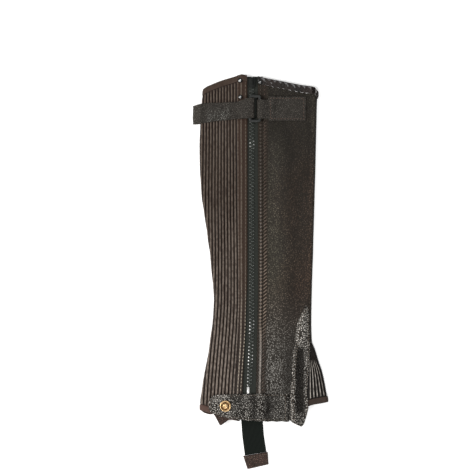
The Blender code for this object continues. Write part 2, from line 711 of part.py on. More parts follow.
def make_ring(z):
    outer = [(RING_LEFT, RING_LOW), (RING_RIGHT, RING_LOW), (RING_RIGHT, RING_HIGH), (RING_LEFT, RING_HIGH)]
    middle = ((RING_LEFT + RING_RIGHT) / 2, (RING_LOW + RING_HIGH) / 2)
    shape = bmesh.new()
    half = RING_THICK / 2
    levels = [(-half, 0.5), (-half + 0.5, 0.0), (half - 0.5, 0.0), (half, 0.5)]
    # Each level is an outer corner pulled in a little, then the same for the hole.
    rings = []
    for inset_base, order in ((0.0, levels), (RING_BAR, list(reversed(levels)))):
        for dz, inset in order:
            inwards = inset_base + (inset if inset_base == 0 else -inset)
            rings.append([
                shape.verts.new(
                    Vector((x + math.copysign(inwards, middle[0] - x), y + math.copysign(inwards, middle[1] - y),
                            z + dz)) * MM
                )
                for x, y in outer
            ])
    for a, b in zip(rings, rings[1:] + rings[:1]):
        for i in range(4):
            j = (i + 1) % 4
            shape.faces.new([a[i], a[j], b[j], b[i]])
    return finish_object("strap_ring", shape, "black_plastic")


def make_ring_tab(surface, ring_z):
    half = TAB / 2
    rest = surface.highest(24, 196, 12) + SEAM + half
    neck, wide = (NECK_LOW, NECK_HIGH), (RING_TAB_LOW, RING_TAB_HIGH)
    under = [(15.0, rest), (9.0, rest), (3.0, rest + 0.1)]
    around = arc(-0.9, ring_z, 2.5, 2.25, 270, 90, 7)
    over = [(2.2, ring_z + 2.2), (5.6, rest + 3.0)]
    stations = [Station(x, z, *neck) for x, z in under + around + over]
    stations += [Station(9.2, rest + 2 * half + SEAM + 0.1, *neck), Station(9.6, rest + 2 * half + SEAM, *wide)]
    stations += [Station(15.6, rest + 2 * half + SEAM, *wide), Station(19.5, rest + 0.5, *wide)]
    stations += [Station(x, rest, *wide) for x in (26.0, 35.0, 44.0, RING_TAB_END)]
    return make_strap("ring_tab", stations, TAB, "leather")


def make_turned(name, x, y, z, profile, sides, finish):
    # A small round piece from its radius and height, middle to middle.
    shape = bmesh.new()
    bottom = shape.verts.new(Vector((x, y, z + profile[0][1])) * MM)
    top = shape.verts.new(Vector((x, y, z + profile[-1][1])) * MM)
    loops = []
    for radius, dz in profile[1:-1]:
        loops.append([
            shape.verts.new(
                Vector((x + radius * math.cos(math.tau * k / sides), y + radius * math.sin(math.tau * k / sides),
                        z + dz)) * MM
            )
            for k in range(sides)
        ])
    for k in range(sides):
        j = (k + 1) % sides
        shape.faces.new([bottom, loops[0][j], loops[0][k]])
        for a, b in zip(loops, loops[1:]):
            shape.faces.new([a[k], a[j], b[j], b[k]])
        shape.faces.new([top, loops[-1][k], loops[-1][j]])
    return finish_object(name, shape, finish, smooth=True)


SNAP_PROFILE = [(0, 0), (6.9, 0), (6.9, 0.5), (6.2, 1.3), (5.1, 1.5), (4.5, 0.9), (3.6, 0.9), (2.7, 2.0),
                (1.3, 2.5), (0, 2.6)]
RIVET_PROFILE = [(0, 0), (RIVET_RADIUS, 0), (RIVET_RADIUS - 0.1, 0.5), (RIVET_RADIUS * 0.62, 1.2), (0, 1.5)]


def clear_scene():
    for thing in list(bpy.data.objects):
        bpy.data.objects.remove(thing, do_unlink=True)


def main():
    clear_scene()
    leather = make_leather_body()
    stretch = make_stretch_back()
    gusset = make_gusset()
    make_piping()
    leather_top = make_binding(
        "leather_top_binding", leather_at, LEATHER_PLACES, upper_top, under_top, 1, LEATHER_LIP, LEATHER,
        "shiny_leather",
    )
    stretch_top = make_binding(
        "stretch_top_binding", stretch_at, STRETCH_PLACES, upper_top, under_top, 1, STRETCH_LIP, STRETCH,
        "binding",
    )
    stretch_hem = make_binding(
        "stretch_hem_binding", stretch_at, STRETCH_PLACES, upper_bottom, under_bottom, -1, STRETCH_LIP,
        STRETCH, "binding",
    )
    gusset_hem = make_binding(
        "gusset_binding", gusset_at, GUSSET_PLACES, gusset_bottom, gusset_bottom, -1, STRETCH_LIP, STRETCH,
        "binding",
    )
    tapes = [make_tape("zip_tape_back", -1), make_tape("zip_tape_front", 1)]
    chain = make_zip_strip("zip_chain", CHAIN_BOTTOM, CHAIN_TOP, CHAIN, CHAIN_BELOW, CHAIN_ABOVE, "black_plastic")
    pin = make_zip_strip("zip_pin", PIN_BOTTOM, CHAIN_BOTTOM - SEAM, PIN, 0.4, 1.1, "bright_metal")
    box = make_zip_strip("zip_box", BOX_BOTTOM, PIN_BOTTOM - SEAM, CHAIN, 0.6, 1.2, "black_plastic")
    make_slider()

    walls = [leather, stretch, gusset, leather_top, stretch_top, stretch_hem, gusset_hem, chain, pin, box, *tapes]
    surface = Surface(walls)
    ring_z = surface.highest(-6, 196, 9) + 2 * SEAM + STRAP + RING_THICK / 2
    make_top_strap(surface, ring_z)
    make_ring(ring_z)
    make_ring_tab(surface, ring_z)
    patch("toe_patch", grid_of_rows(TOE_ROWS, EDGE_SHARES), TOE_PATCH, surface, "coarse_leather", reach=3.6)
    base = patch("snap_base", grid_of_columns(SNAP_BASE_COLUMNS, EDGE_SHARES), 1.2, surface, "leather", reach=3.8)
    surface = Surface(walls + [base])
    tab = patch("closure_tab", grid_of_columns(TAB_COLUMNS, EDGE_SHARES), TAB, surface, "coarse_leather", reach=5)
    surface = Surface(walls + [tab])
    snap_z = surface.highest(SNAP_X, SNAP_Y, 5) + SEAM
    make_turned("snap_cap", SNAP_X, SNAP_Y, snap_z, SNAP_PROFILE, 20, "brass")
    for number, rivet in enumerate(RIVETS, 1):
        z = surface.highest(rivet.x, rivet.y, RIVET_RADIUS) + SEAM
        make_turned(f"rivet_{number}", rivet.x, rivet.y, z, RIVET_PROFILE, 14, "dark_metal")
    make_strip("stirrup_elastic", ELASTIC_LINES, ELASTIC, "elastic")
    make_strip("stirrup_tip", TIP_LINES, 2.6, "leather")
    make_strip("anchor_patch", ANCHOR_LINES, ANCHOR, "leather")


main()
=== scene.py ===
import math
import random

import bmesh
import bpy
import numpy as np
from mathutils import Matrix, Vector, noise
from mathutils.bvhtree import BVHTree


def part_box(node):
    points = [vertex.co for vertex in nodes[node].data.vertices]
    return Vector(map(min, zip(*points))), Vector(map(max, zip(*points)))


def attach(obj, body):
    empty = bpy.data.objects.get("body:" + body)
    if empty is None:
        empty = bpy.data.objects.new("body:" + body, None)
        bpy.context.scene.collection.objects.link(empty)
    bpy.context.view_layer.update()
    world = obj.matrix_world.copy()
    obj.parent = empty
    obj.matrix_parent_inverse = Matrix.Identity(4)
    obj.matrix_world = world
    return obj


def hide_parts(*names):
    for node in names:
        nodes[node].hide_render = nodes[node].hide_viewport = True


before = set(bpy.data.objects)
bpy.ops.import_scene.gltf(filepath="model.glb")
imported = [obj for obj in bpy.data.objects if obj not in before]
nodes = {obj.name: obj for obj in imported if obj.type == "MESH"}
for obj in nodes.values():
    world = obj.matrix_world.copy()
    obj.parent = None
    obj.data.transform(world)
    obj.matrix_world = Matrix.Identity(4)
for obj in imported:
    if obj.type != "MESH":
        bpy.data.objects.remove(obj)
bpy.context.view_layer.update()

# A half chap laid flat with its zip up. Sizes are in millimetres until a mesh is made.
mm = 0.001
random.seed(7)

# The flat tube that all pieces share.

tube = {
    "leather": 1.5,  # the two walls
    "stretch": 1.2,
    "gap": 0.3,  # between neighbouring pieces
    "binding": 0.8,
    "leatherLip": 8.0,  # how far a binding reaches down the wall
    "stretchLip": 6.0,
    "seamHalf": 1.5,  # from the middle of the seam underneath to each panel
    "upperInside": 4.6,  # height of the upper layer's inner face
    "sag": 1.2,  # the upper layer sinks this far between the folds
    "sagEdge": 30,  # over this width beside each fold
    "sagAlong": (-112, -50, 110, 166),
    "fold": 3.2,  # reach of each fold beyond its flat part
    "notch": 3.7,  # above the gusset s is 1 this far before the fold
    "gussetTop": -85.0,
    # y, back fold, underside seam, edge of the ribs, rib pitch, zip's left and right, front fold
    "sections": [
        (240, -66.3, -49.5, -28.8, 3.56, -15.8, -2.8, 69.6),
        (221, -67.6, -50.0, -28.8, 3.56, -15.6, -2.8, 69.0),
        (205, -69.3, -51.0, -28.8, 3.56, -15.5, -2.8, 68.4),
        (175, -71.2, -52.5, -28.8, 3.57, -15.4, -2.7, 67.7),
        (150, -72.2, -53.0, -28.7, 3.60, -15.4, -2.6, 67.1),
        (123, -71.7, -52.0, -28.4, 3.66, -15.4, -2.6, 66.5),
        (88, -69.3, -48.5, -28.2, 3.71, -15.4, -2.6, 65.5),
        (62, -65.4, -42.5, -27.9, 3.73, -15.4, -2.5, 64.8),
        (40, -62.3, -38.0, -27.6, 3.73, -15.4, -2.5, 64.1),
        (22, -59.8, -34.5, -27.4, 3.75, -15.4, -2.4, 63.7),
        (3, -57.8, -31.5, -27.3, 3.76, -15.4, -2.4, 63.0),
        (-16, -56.2, -29.5, -27.2, 3.82, -15.8, -2.5, 62.4),
        (-32, -54.9, -29.0, -27.2, 3.86, -16.4, -2.7, 62.0),
        (-61, -56.6, -31.0, -28.2, 3.95, -17.6, -3.3, 61.6),
        (-83, -59.6, -34.5, -29.6, 4.03, -18.6, -3.8, 62.3),
        (-94, -61.2, -36.6, -30.4, 4.08, -19.1, -4.0, 66.3),
        (-108, -63.8, -40.0, -31.3, 4.12, -19.7, -4.3, 70.4),
        (-119, -65.8, -43.0, -32.2, 4.14, -20.1, -4.5, 74.2),
        (-140, -69.3, -48.0, -33.6, 4.18, -21.0, -5.0, 78.7),
        (-158, -71.6, -51.5, -34.4, 4.19, -21.8, -5.4, 81.0),
        (-190, -71.6, -54.0, -35.2, 4.19, -23.0, -6.0, 81.0),
    ],
    # x, y along each edge
    "upperTop": [
        (-71, 219.5), (-67.6, 220.9), (-62.7, 223.1), (-46.6, 229.6), (-30.7, 234.4), (-22, 237.2),
        (-15.8, 236.2), (-7.6, 235.9), (3.9, 233.3), (24.3, 229.3), (49.4, 224.4), (65, 222.0), (69, 217.5),
    ],
    "underTop": [
        (-71, 218.5), (-64, 217.5), (-48, 213.0), (-20, 209.2), (10, 208.8), (40, 212.5), (60, 216.5),
        (69, 217.0),
    ],
    "upperBottom": [
        (-72, -165.4), (-68, -166.8), (-60, -169.2), (-40, -172.0), (-20, -175.0), (-5, -177.4),
        (30, -178.5), (40, -180.6), (47, -183.6), (52, -182.4), (58, -168.0),
    ],
    "underBottom": [
        (-72, -166.4), (-67, -169.6), (-60, -171.4), (-46, -167.0), (-22, -157.4), (0, -154.0),
        (25, -154.6), (48, -158.2), (60, -160.0),
    ],
    "gussetBottom": [(55, -162.4), (62.7, -159.6), (72, -157.8), (82, -156.0)],
    # y, x of the seam between the main panel and the gusset
    "frontSeam": [
        (-190, 49.5), (-183, 51.6), (-176, 54.4), (-170, 55.8), (-162, 56.6), (-148, 55.8), (-124, 56.6),
        (-108, 57.2), (-95, 57.0), (-85, 55.6),
    ],
    # left, right, low, high, height, ramp of what lies under the lower layer
    "strapPad": (-90, -57, 172, 210, 1.6, 12),
    "anchorPad": (-28, 4, -170, -122, 2.7, 14),
    "anchorRise": 1.4,  # of the upper layer over the anchor
    # over the toe: middle, reach and depth or height, from nothing to full along y
    "toeTrough": (48.8, 6.5, 1.3),
    "toeRidges": [(40.0, 3.5, 0.5), (57.0, 3.5, 0.5)],
    "toeAlong": (-66, -100),
}


class Curve:
    # Smooth through a table of pairs, with no overshoot. It takes single numbers and arrays.
    def __init__(self, pairs):
        self.at, self.value = np.array(sorted(pairs), float).T
        rise = np.diff(self.value) / np.diff(self.at)
        sameWay = rise[:-1] * rise[1:] > 0
        total = np.where(sameWay, rise[:-1] + rise[1:], 1.0)
        inner = np.where(sameWay, 2 * rise[:-1] * rise[1:] / total, 0.0)
        self.slope = np.concatenate([rise[:1], inner, rise[-1:]])

    def __call__(self, t):
        t = np.clip(t, self.at[0], self.at[-1])
        i = np.clip(np.searchsorted(self.at, t) - 1, 0, len(self.at) - 2)
        h = self.at[i + 1] - self.at[i]
        s = (t - self.at[i]) / h
        start = self.value[i] * (1 + 2 * s) + self.slope[i] * h * s
        end = self.value[i + 1] * (3 - 2 * s) - self.slope[i + 1] * h * (1 - s)
        return start * (1 - s) ** 2 + end * s * s


def curvesOf(table):
    # One curve for each column after the first.
    return [Curve([(row[0], row[k]) for row in table]) for k in range(1, len(table[0]))]


back, underSeam, ribEdge, ribPitch, zipLeft, zipRight, front = curvesOf(tube["sections"])
upperTop, underTop, upperBottom, underBottom, gussetBottom, frontSeam = [
    Curve(tube[name])
    for name in ("upperTop", "underTop", "upperBottom", "underBottom", "gussetBottom", "frontSeam")
]


def mix(a, b, t):
    return a + (b - a) * t


def ramp(low, high, t):
    s = np.clip((t - low) / (high - low), 0.0, 1.0)
    return s * s * (3 - 2 * s)


def bump(t, middle, width):
    return np.exp(-(((t - middle) / width) ** 2))


def bumps(t, table):
    # Rows are middle, width and height.
    return sum(high * bump(t, middle, width) for middle, width, high in table)


def plateau(t, start, full, fading, end):
    return ramp(start, full, t) * (1 - ramp(fading, end, t))


def padShare(pad, x, y):
    left, right, low, high, _, reach = pad
    across = plateau(x, left - reach, left, right, right + reach)
    return across * plateau(y, low - reach, low, high, high + reach)


def lift(x, y):
    # Height of the lower layer's face over the floor: it lies on its bindings, the strap and the anchor.
    lip = tube["leatherLip"] + 2
    fromEdge = np.minimum(underTop(x) - y, y - underBottom(x))
    bound = (tube["binding"] + tube["gap"]) * (1 - ramp(lip, lip + 9, fromEdge))
    underStrap = tube["strapPad"][4] * padShare(tube["strapPad"], x, y)
    overAnchor = tube["anchorPad"][4] * padShare(tube["anchorPad"], x, y)
    return np.maximum(np.maximum(bound, underStrap), overAnchor)


def toeRelief(x, y):
    middle, reach, deep = tube["toeTrough"]
    trough = np.maximum(0.0, 1 - ((x - middle) / reach) ** 2) ** 2
    return ramp(*tube["toeAlong"], y) * (bumps(x, tube["toeRidges"]) - deep * trough)


def sagShare(x, y):
    edge = tube["sagEdge"]
    across = ramp(0, edge, x - back(y)) * ramp(0, edge, front(y) - x)
    return across * plateau(y, *tube["sagAlong"])


def upperInside(x, y):
    rise = tube["anchorRise"] * padShare(tube["anchorPad"], x, y)
    return tube["upperInside"] + rise - tube["sag"] * sagShare(x, y) + toeRelief(x, y)


def roundFold(x, y, wall, turn, out, side):
    # turn is 0 on the upper layer and 1 on the lower one.
    high, low = upperInside(x, y) + wall, lift(x, y)
    angle = turn * math.pi
    reach = tube["fold"] + out
    return x + side * reach * np.sin(angle), (high + low) / 2 + ((high - low) / 2 + out) * np.cos(angle)


def onTube(way, foldFrom, foldTo, y, out, wall, xTop, foldX, side, xUnder):
    # x, z and turn at a way along a panel: over the top, round the fold, then underneath.
    turn = np.clip((way - foldFrom) / (foldTo - foldFrom), 0, 1)
    xFold, zFold = roundFold(foldX, y, wall, turn, out, side)
    zTop, zUnder = upperInside(xTop, y) + wall + out, lift(xUnder, y) - out
    x = np.where(way <= foldFrom, xTop, np.where(way < foldTo, xFold, xUnder))
    z = np.where(way <= foldFrom, zTop, np.where(way < foldTo, zFold, zUnder))
    return x, z, turn


def leatherAt(s, y, out):
    # s runs 0-1 over the top, 1-2 to the fold, 2-3 round it, 3-4 back from it, 4-5 underneath.
    foldX = front(y) - tube["fold"]
    panelEnd = np.where(y >= tube["gussetTop"] - 0.01, foldX - tube["notch"], frontSeam(y))
    overTop = mix(zipRight(y), panelEnd, np.clip(s, 0, 1))
    xTop = np.where(s <= 1, overTop, mix(panelEnd, foldX, np.clip(s - 1, 0, 1)))
    underneath = mix(panelEnd, underSeam(y) + tube["seamHalf"], np.clip(s - 4, 0, 1))
    xUnder = np.where(s <= 4, mix(foldX, panelEnd, np.clip(s - 3, 0, 1)), underneath)
    return onTube(s, 2, 3, y, out, tube["leather"], xTop, foldX, 1, xUnder)


ribs = {"count": 14, "height": 0.9, "margin": 0.3}


def stretchAt(s, y, out):
    # s runs -1 to 0 over the margin by the zip, then one for each rib, then 1 over the plain end.
    foldX = back(y) + tube["fold"]
    onTop = ribEdge(y) - foldX
    foldEnd = onTop + math.pi * tube["fold"]
    ribbed = ribs["count"] * ribPitch(y)
    whole = foldEnd + underSeam(y) - tube["seamHalf"] - foldX
    way = np.where(s <= ribs["count"], s * ribPitch(y), mix(ribbed, whole, s - ribs["count"]))
    xTop = np.where(s < 0, mix(ribEdge(y), zipLeft(y), -s), ribEdge(y) - way)
    return onTube(way, onTop, foldEnd, y, out, tube["stretch"], xTop, foldX, -1, foldX + way - foldEnd)


def gussetAt(s, y, out):
    # s runs 0-1 over the top, 1-2 round the fold, 2-3 underneath.
    seamX = frontSeam(y) + tube["gap"]
    foldX = front(y) - tube["fold"]
    xTop, xUnder = mix(seamX, foldX, np.clip(s, 0, 1)), mix(foldX, seamX, np.clip(s - 2, 0, 1))
    return onTube(s, 1, 2, y, out, tube["stretch"], xTop, foldX, 1, xUnder)


def surface(at, s, y, out):
    x, z, _ = at(s, y, out)
    return np.stack([x, y, z], -1)


def edgeOf(at, s, upper, under, inset):
    # y along a panel's edge, which passes from the upper layer's line to the lower one's in the fold.
    y = upper(np.zeros_like(s))
    for _ in range(5):
        x, _, turn = at(s, y, 0.0)
        y = mix(upper(x), under(x), turn)
    return y - inset


def spans(*pieces):
    # Shares along a panel: (start, end, steps) one after the other.
    made = [np.linspace(a, b, n, endpoint=False) for a, b, n in pieces]
    return np.concatenate(made + [[pieces[-1][1]]])


def softNoise(x, y, scaleX, scaleY, seed):
    # Smooth noise from -1 to 1 on a grid of points.
    flat = [
        noise.noise(Vector((px / scaleX, py / scaleY, seed)))
        for px, py in zip(np.ravel(x), np.ravel(y))
    ]
    return np.array(flat).reshape(np.shape(x)) * 1.6


def softNoises(x, y, table):
    # Rows are height, reach across and along, and seed.
    return sum(high * softNoise(x, y, *reachAndSeed) for high, *reachAndSeed in table)


# Shader tools.


class Value:
    # One output socket. Sums on it add Math nodes.
    def __init__(self, paint, socket):
        self.paint = paint
        self.socket = socket

    def math(self, operation, first, second):
        return self.paint.node("Math", {"operation": operation}, {0: first, 1: second})

    def __add__(self, other):
        return self.math("ADD", self, other)

    def __sub__(self, other):
        return self.math("SUBTRACT", self, other)

    def __rsub__(self, other):
        return self.math("SUBTRACT", other, self)

    def __mul__(self, other):
        return self.math("MULTIPLY", self, other)

    __radd__ = __add__
    __rmul__ = __mul__

    def clamp(self, low, high):
        return self.paint.node("Clamp", {}, {0: self, 1: low, 2: high})

    def between(self, low, high):
        # 0 below low, 1 above high, smooth in between.
        settings = {"interpolation_type": "SMOOTHSTEP"}
        return self.paint.node("MapRange", settings, {"Value": self, "From Min": low, "From Max": high})


class Paint:
    def __init__(self, name, finish):
        self.material = bpy.data.materials.new(name)
        self.material.use_nodes = True
        self.nodes = self.material.node_tree.nodes
        self.links = self.material.node_tree.links
        self.shader = self.nodes["Principled BSDF"]
        for socket, value in finish.items():
            self.shader.inputs[socket].default_value = value

    def node(self, kind, settings, sockets, output=0):
        made = self.nodes.new("ShaderNode" + kind)
        for key, value in settings.items():
            setattr(made, key, value)
        for key, value in sockets.items():
            if isinstance(value, Value):
                self.links.new(value.socket, made.inputs[key])
            else:
                made.inputs[key].default_value = value
        return Value(self, made.outputs[output])

    def place(self, scale=(1, 1, 1)):
        where = self.node("TexCoord", {}, {}, "Object")
        return self.node("Mapping", {}, {"Vector": where, "Scale": scale})

    def noise(self, scale, detail=2, roughness=0.5, stretch=(1, 1, 1)):
        sockets = {"Vector": self.place(stretch), "Scale": scale, "Detail": detail, "Roughness": roughness}
        return self.node("TexNoise", {}, sockets)

    def cells(self, scale, feature="F1", warp=0.0, output=0):
        where = self.place()
        if warp:
            sockets = {"Vector": where, "Scale": scale * 0.7, "Detail": 1.0}
            shift = self.node("TexNoise", {}, sockets, "Color")
            amount = self.node("VectorMath", {"operation": "SCALE"}, {0: shift, "Scale": warp / scale})
            where = self.node("VectorMath", {"operation": "ADD"}, {0: where, 1: amount})
        return self.node("TexVoronoi", {"feature": feature}, {"Vector": where, "Scale": scale}, output)

    def lines(self, scale, along, distortion=0.0, stretch=(1, 1, 1)):
        settings = {"wave_type": "BANDS", "bands_direction": along}
        sockets = {"Vector": self.place(stretch), "Scale": scale, "Distortion": distortion}
        return self.node("TexWave", settings, sockets)

    def along(self, axis, start, end):
        # 0 to 1 between two places on an axis, in metres.
        where = self.node("TexCoord", {}, {}, "Object")
        return self.node("SeparateXYZ", {}, {"Vector": where}, axis).between(start, end)

    def tone(self, name):
        # A number that the mesh carries at each point.
        return self.node("Attribute", {"attribute_name": name}, {}, "Fac")

    def blend(self, factor, first, second):
        # The mix node's colour sockets are its inputs 6 and 7 and its output 2.
        return self.node("Mix", {"data_type": "RGBA"}, {"Factor": factor, 6: first, 7: second}, 2)

    def scaled(self, value, factor):
        return self.node("VectorMath", {"operation": "SCALE"}, {0: value, "Scale": factor})

    def colour(self, value):
        self.links.new(value.socket, self.shader.inputs["Base Color"])

    def roughness(self, value):
        self.links.new(value.socket, self.shader.inputs["Roughness"])

    def relief(self, height, depth, strength=1.0):
        # Adds a bump of this depth, in metres, over those before it.
        sockets = {"Height": height, "Distance": depth, "Strength": strength}
        before = self.shader.inputs["Normal"].links
        if before:
            sockets["Normal"] = Value(self, before[0].from_socket)
        made = self.node("Bump", {}, sockets)
        self.links.new(made.socket, self.shader.inputs["Normal"])


def rgb(r, g, b):
    return (r, g, b, 1.0)


# In each look glint is the colour of a painted highlight on the grain's pebble tops.
leathers = {
    "main": {
        "grey": rgb(0.0395, 0.0355, 0.0265),
        "red": rgb(0.0525, 0.0315, 0.0220),
        "pore": rgb(0.008, 0.006, 0.005),
        "grain": 520.0,  # pebbles in a metre
        "depth": 0.00016,
        "glint": rgb(0.350, 0.335, 0.308),  # a painted highlight on the pebbles where it is coarse
        "roughness": (0.46, 0.60),
        "gloss": 0.30,
        "polish": 0.18,
        "coarse": (0.0, 1.0),  # how coarse, and how strong the painted glints, at the knee, and how much more at the foot
        # the sewn strip, then the painted highlight on its ridges at the knee, lower down and at the foot
        "strip": (
            rgb(0.012, 0.0075, 0.005), rgb(0.064, 0.050, 0.040), rgb(0.245, 0.192, 0.150),
            rgb(0.290, 0.258, 0.232),
        ),
    },
    "coarse": {
        "grey": rgb(0.046, 0.040, 0.033),
        "red": rgb(0.042, 0.032, 0.025),
        "pore": rgb(0.005, 0.004, 0.004),
        "grain": 520.0,
        "depth": 0.00030,
        "glint": rgb(0.750, 0.715, 0.655),
        "roughness": (0.34, 0.48),
        "gloss": 0.20,
        "polish": 0.0,
        "coarse": (1.0, 0.0),
    },
    "strap": {
        "grey": rgb(0.040, 0.036, 0.031),
        "red": rgb(0.032, 0.024, 0.018),
        "pore": rgb(0.007, 0.006, 0.005),
        "grain": 600.0,
        "depth": 0.00024,
        "glint": rgb(0.360, 0.350, 0.320),
        "roughness": (0.36, 0.52),
        "gloss": 0.4,
        "polish": 0.0,
        "coarse": (0.05, 0.0),
    },
    "tip": {
        "grey": rgb(0.080, 0.038, 0.029),
        "red": rgb(0.066, 0.026, 0.019),
        "pore": rgb(0.010, 0.006, 0.005),
        "grain": 600.0,
        "depth": 0.00026,
        "glint": rgb(0.260, 0.190, 0.165),
        "roughness": (0.38, 0.55),
        "gloss": 0.4,
        "polish": 0.0,
        "coarse": (0.5, 0.0),
    },
}


def leatherPaint(name, look):
    finish = {"Specular IOR Level": look["gloss"], "IOR": 1.48, "Specular Tint": rgb(1.0, 0.92, 0.82)}
    paint = Paint(name, finish)
    grain = look["grain"]
    pebbles = 1 - paint.cells(grain, warp=0.5).between(0.12, 0.58)
    flecks = paint.cells(grain, warp=0.5, output="Color")
    edges = paint.cells(grain, "DISTANCE_TO_EDGE", warp=0.5)
    patches = paint.noise(9.0, 3, 0.55, (1.6, 0.7, 1))
    blotches = paint.noise(60.0, 3, 0.6)
    start, growth = look["coarse"]
    coarse = paint.along("Y", -0.01, -0.125) * growth + paint.tone("coarseTone") + start
    toFront = paint.along("X", 0.012, 0.045)
    tint = (patches * 1.6 + toFront * 0.7 - paint.along("Y", 0.09, 0.17) * 0.6 - 0.75).clamp(0, 1)
    base = paint.blend(tint, look["grey"], look["red"])
    # Pebble tops get a painted highlight, up to the glint colour where it is coarse; the ground between them
    # is painted darker.
    spread = flecks * (coarse * 1.4 + 1.7) - coarse * 0.3 - 0.1
    tone = pebbles * spread * (coarse * 0.4 + 0.9) + (blotches - 0.5) * 0.4 + 0.05
    paintedHighlight = paint.blend(coarse, paint.scaled(base, 2.5), look["glint"])
    base = paint.blend(tone.clamp(0, 1), paint.scaled(base, coarse * -0.26 + 0.38), paintedHighlight)
    # Painted light and shade, with some random mottle, from the tone the mesh carries.
    base = paint.scaled(base, paint.tone("wornTone") + 1.0)
    # Painted shade in the grain's creases, in the dark crease colour.
    creases = 1 - edges.between(0.0, 0.17)
    base = paint.blend(creases * 0.8, base, look["pore"])
    if "strip" in look:
        dark, knee, shin, foot = look["strip"]
        base = paint.blend(paint.tone("stripTone") * 0.85, base, dark)
        # Painted highlight on the sewn strip's raised ridges, brighter towards the foot.
        ridges = paint.blend(paint.along("Y", 0.12, -0.06), knee, shin)
        ridges = paint.blend(paint.along("Y", -0.06, -0.10), ridges, foot)
        onRidge = paint.tone("ridgeHighlightTone").between(0.38, 0.95)
        base = paint.blend(onRidge * (flecks * 0.6 + 0.6).clamp(0, 1), base, ridges)
    paint.colour(base)
    low, high = look["roughness"]
    dull = blotches.between(0.3, 0.7) * (high - low) + low
    paint.roughness(dull + creases * 0.15 - coarse * look["polish"])
    paint.relief(blotches, 0.0007, 0.4)
    paint.relief(edges.between(0.0, 0.34) + pebbles * 0.6, look["depth"])
    paint.relief(pebbles * (flecks + 0.4) * (coarse * 0.8 + 0.2), look["depth"] * 3)
    return paint.material


# The pale crest colour is a painted highlight on the rib crests, and the trough colour painted shade between
# the ribs.
stretches = {
    "stretch": {
        "crest": rgb(0.105, 0.081, 0.064),
        "crestHighlight": rgb(0.235, 0.195, 0.165),
        "flank": rgb(0.026, 0.0145, 0.0095),
        "trough": rgb(0.0022, 0.0012, 0.0009),
        "margin": rgb(0.042, 0.0235, 0.0150),
        "footMargin": rgb(0.018, 0.0110, 0.0080),
        "crestWidth": 0.55,
        "crestShare": 0.12,
    },
    "gussetStretch": {
        "crest": rgb(0.090, 0.075, 0.062),
        "crestHighlight": rgb(0.520, 0.480, 0.430),
        "flank": rgb(0.012, 0.0085, 0.0065),
        "trough": rgb(0.0016, 0.0012, 0.0010),
        "margin": rgb(0.012, 0.0085, 0.0065),
        "footMargin": rgb(0.012, 0.0085, 0.0065),
        "crestWidth": 0.80,
        "crestShare": 0.08,
    },
}


def stretchPaint(name, look):
    paint = Paint(name, {"Specular IOR Level": 0.16})
    height = paint.tone("ribTone")
    patches = paint.noise(26.0, 3, 0.55, (1, 0.6, 1))
    beads = paint.noise(420.0, 2, 0.6, (1, 0.45, 1)).between(0.36, 0.62)
    threads = paint.lines(420.0, "Y", 1.5)
    # Painted highlight on the rib crests, stronger towards the foot.
    paintedHighlight = (paint.along("Y", 0.12, -0.13) * 0.8 + patches * 0.6 - 0.3).clamp(0, 1)
    crest = paint.blend(paintedHighlight, look["crest"], look["crestHighlight"])
    uneven = (patches * 0.5 + beads * 0.7 + look["crestShare"]).clamp(0, 1)
    margin = paint.blend(paint.along("Y", 0.02, -0.12), look["margin"], look["footMargin"])
    flank = paint.blend(paint.tone("marginTone"), look["flank"], margin)
    cloth = paint.blend(height.between(look["crestWidth"], 0.97) * uneven, flank, crest)
    # Painted shade in the troughs, where the rib tone is low.
    paint.colour(paint.blend(height.between(0.12, 0.80), look["trough"], cloth))
    paint.roughness(patches * 0.2 + 0.42)
    paint.relief(patches, 0.0005, 0.3)
    paint.relief(beads, 0.00016, 0.8)
    paint.relief(threads, 0.00008, 0.6)
    return paint.material


def bindingPaint(name, base, light, roughness, coat=0.0, wrinkles=0.0):
    paint = Paint(name, {"Coat Weight": coat, "Coat Roughness": 0.06, "Specular IOR Level": 0.18})
    patches = paint.noise(60.0, 3, 0.6)
    grain = paint.cells(1400.0, "DISTANCE_TO_EDGE", warp=0.8)
    paint.colour(paint.blend(patches.between(0.3, 0.7), base, light))
    paint.roughness(patches * 0.2 + roughness)
    paint.relief(grain.between(0.0, 0.3), 0.00007, 0.7)
    if wrinkles:
        paint.relief(paint.noise(240.0, 2, 0.5, (1, 0.5, 1)), wrinkles)
    return paint.material


def tapePaint():
    paint = Paint("zipTape", {"Specular IOR Level": 0.3})
    twill = paint.lines(330.0, "DIAGONAL") * paint.lines(330.0, "DIAGONAL", stretch=(-1, 1, 1))
    patches = paint.noise(500.0, 2)
    threads = twill * 0.8 + patches * 0.3
    paint.colour(paint.blend(threads, rgb(0.004, 0.0055, 0.004), rgb(0.040, 0.044, 0.036)))
    paint.roughness(patches * 0.2 + 0.7)
    paint.relief(twill, 0.00012, 0.8)
    return paint.material


def elasticPaint():
    paint = Paint("wovenElastic", {"Specular IOR Level": 0.10})
    fuzz = paint.noise(900.0, 2)
    cords = paint.tone("cordTone") * 0.6 + fuzz * 0.25
    paint.colour(paint.blend(cords, rgb(0.0012, 0.0022, 0.0018), rgb(0.015, 0.019, 0.016)))
    paint.roughness(fuzz * 0.2 + 0.72)
    paint.relief(paint.lines(300.0, "Y", 0.4), 0.00015, 0.6)
    paint.relief(fuzz, 0.00012, 0.5)
    return paint.material


def plasticPaint(name, roughness, gloss):
    paint = Paint(name, {"Specular IOR Level": gloss})
    marks = paint.noise(140.0, 4, 0.6)
    paint.colour(paint.blend(marks, rgb(0.008, 0.009, 0.008), (0.012, 0.0135, 0.012, 1.5)))
    paint.roughness(marks * 0.18 + roughness)
    paint.relief(paint.noise(1100.0, 2), 0.00003, 0.5)
    return paint.material


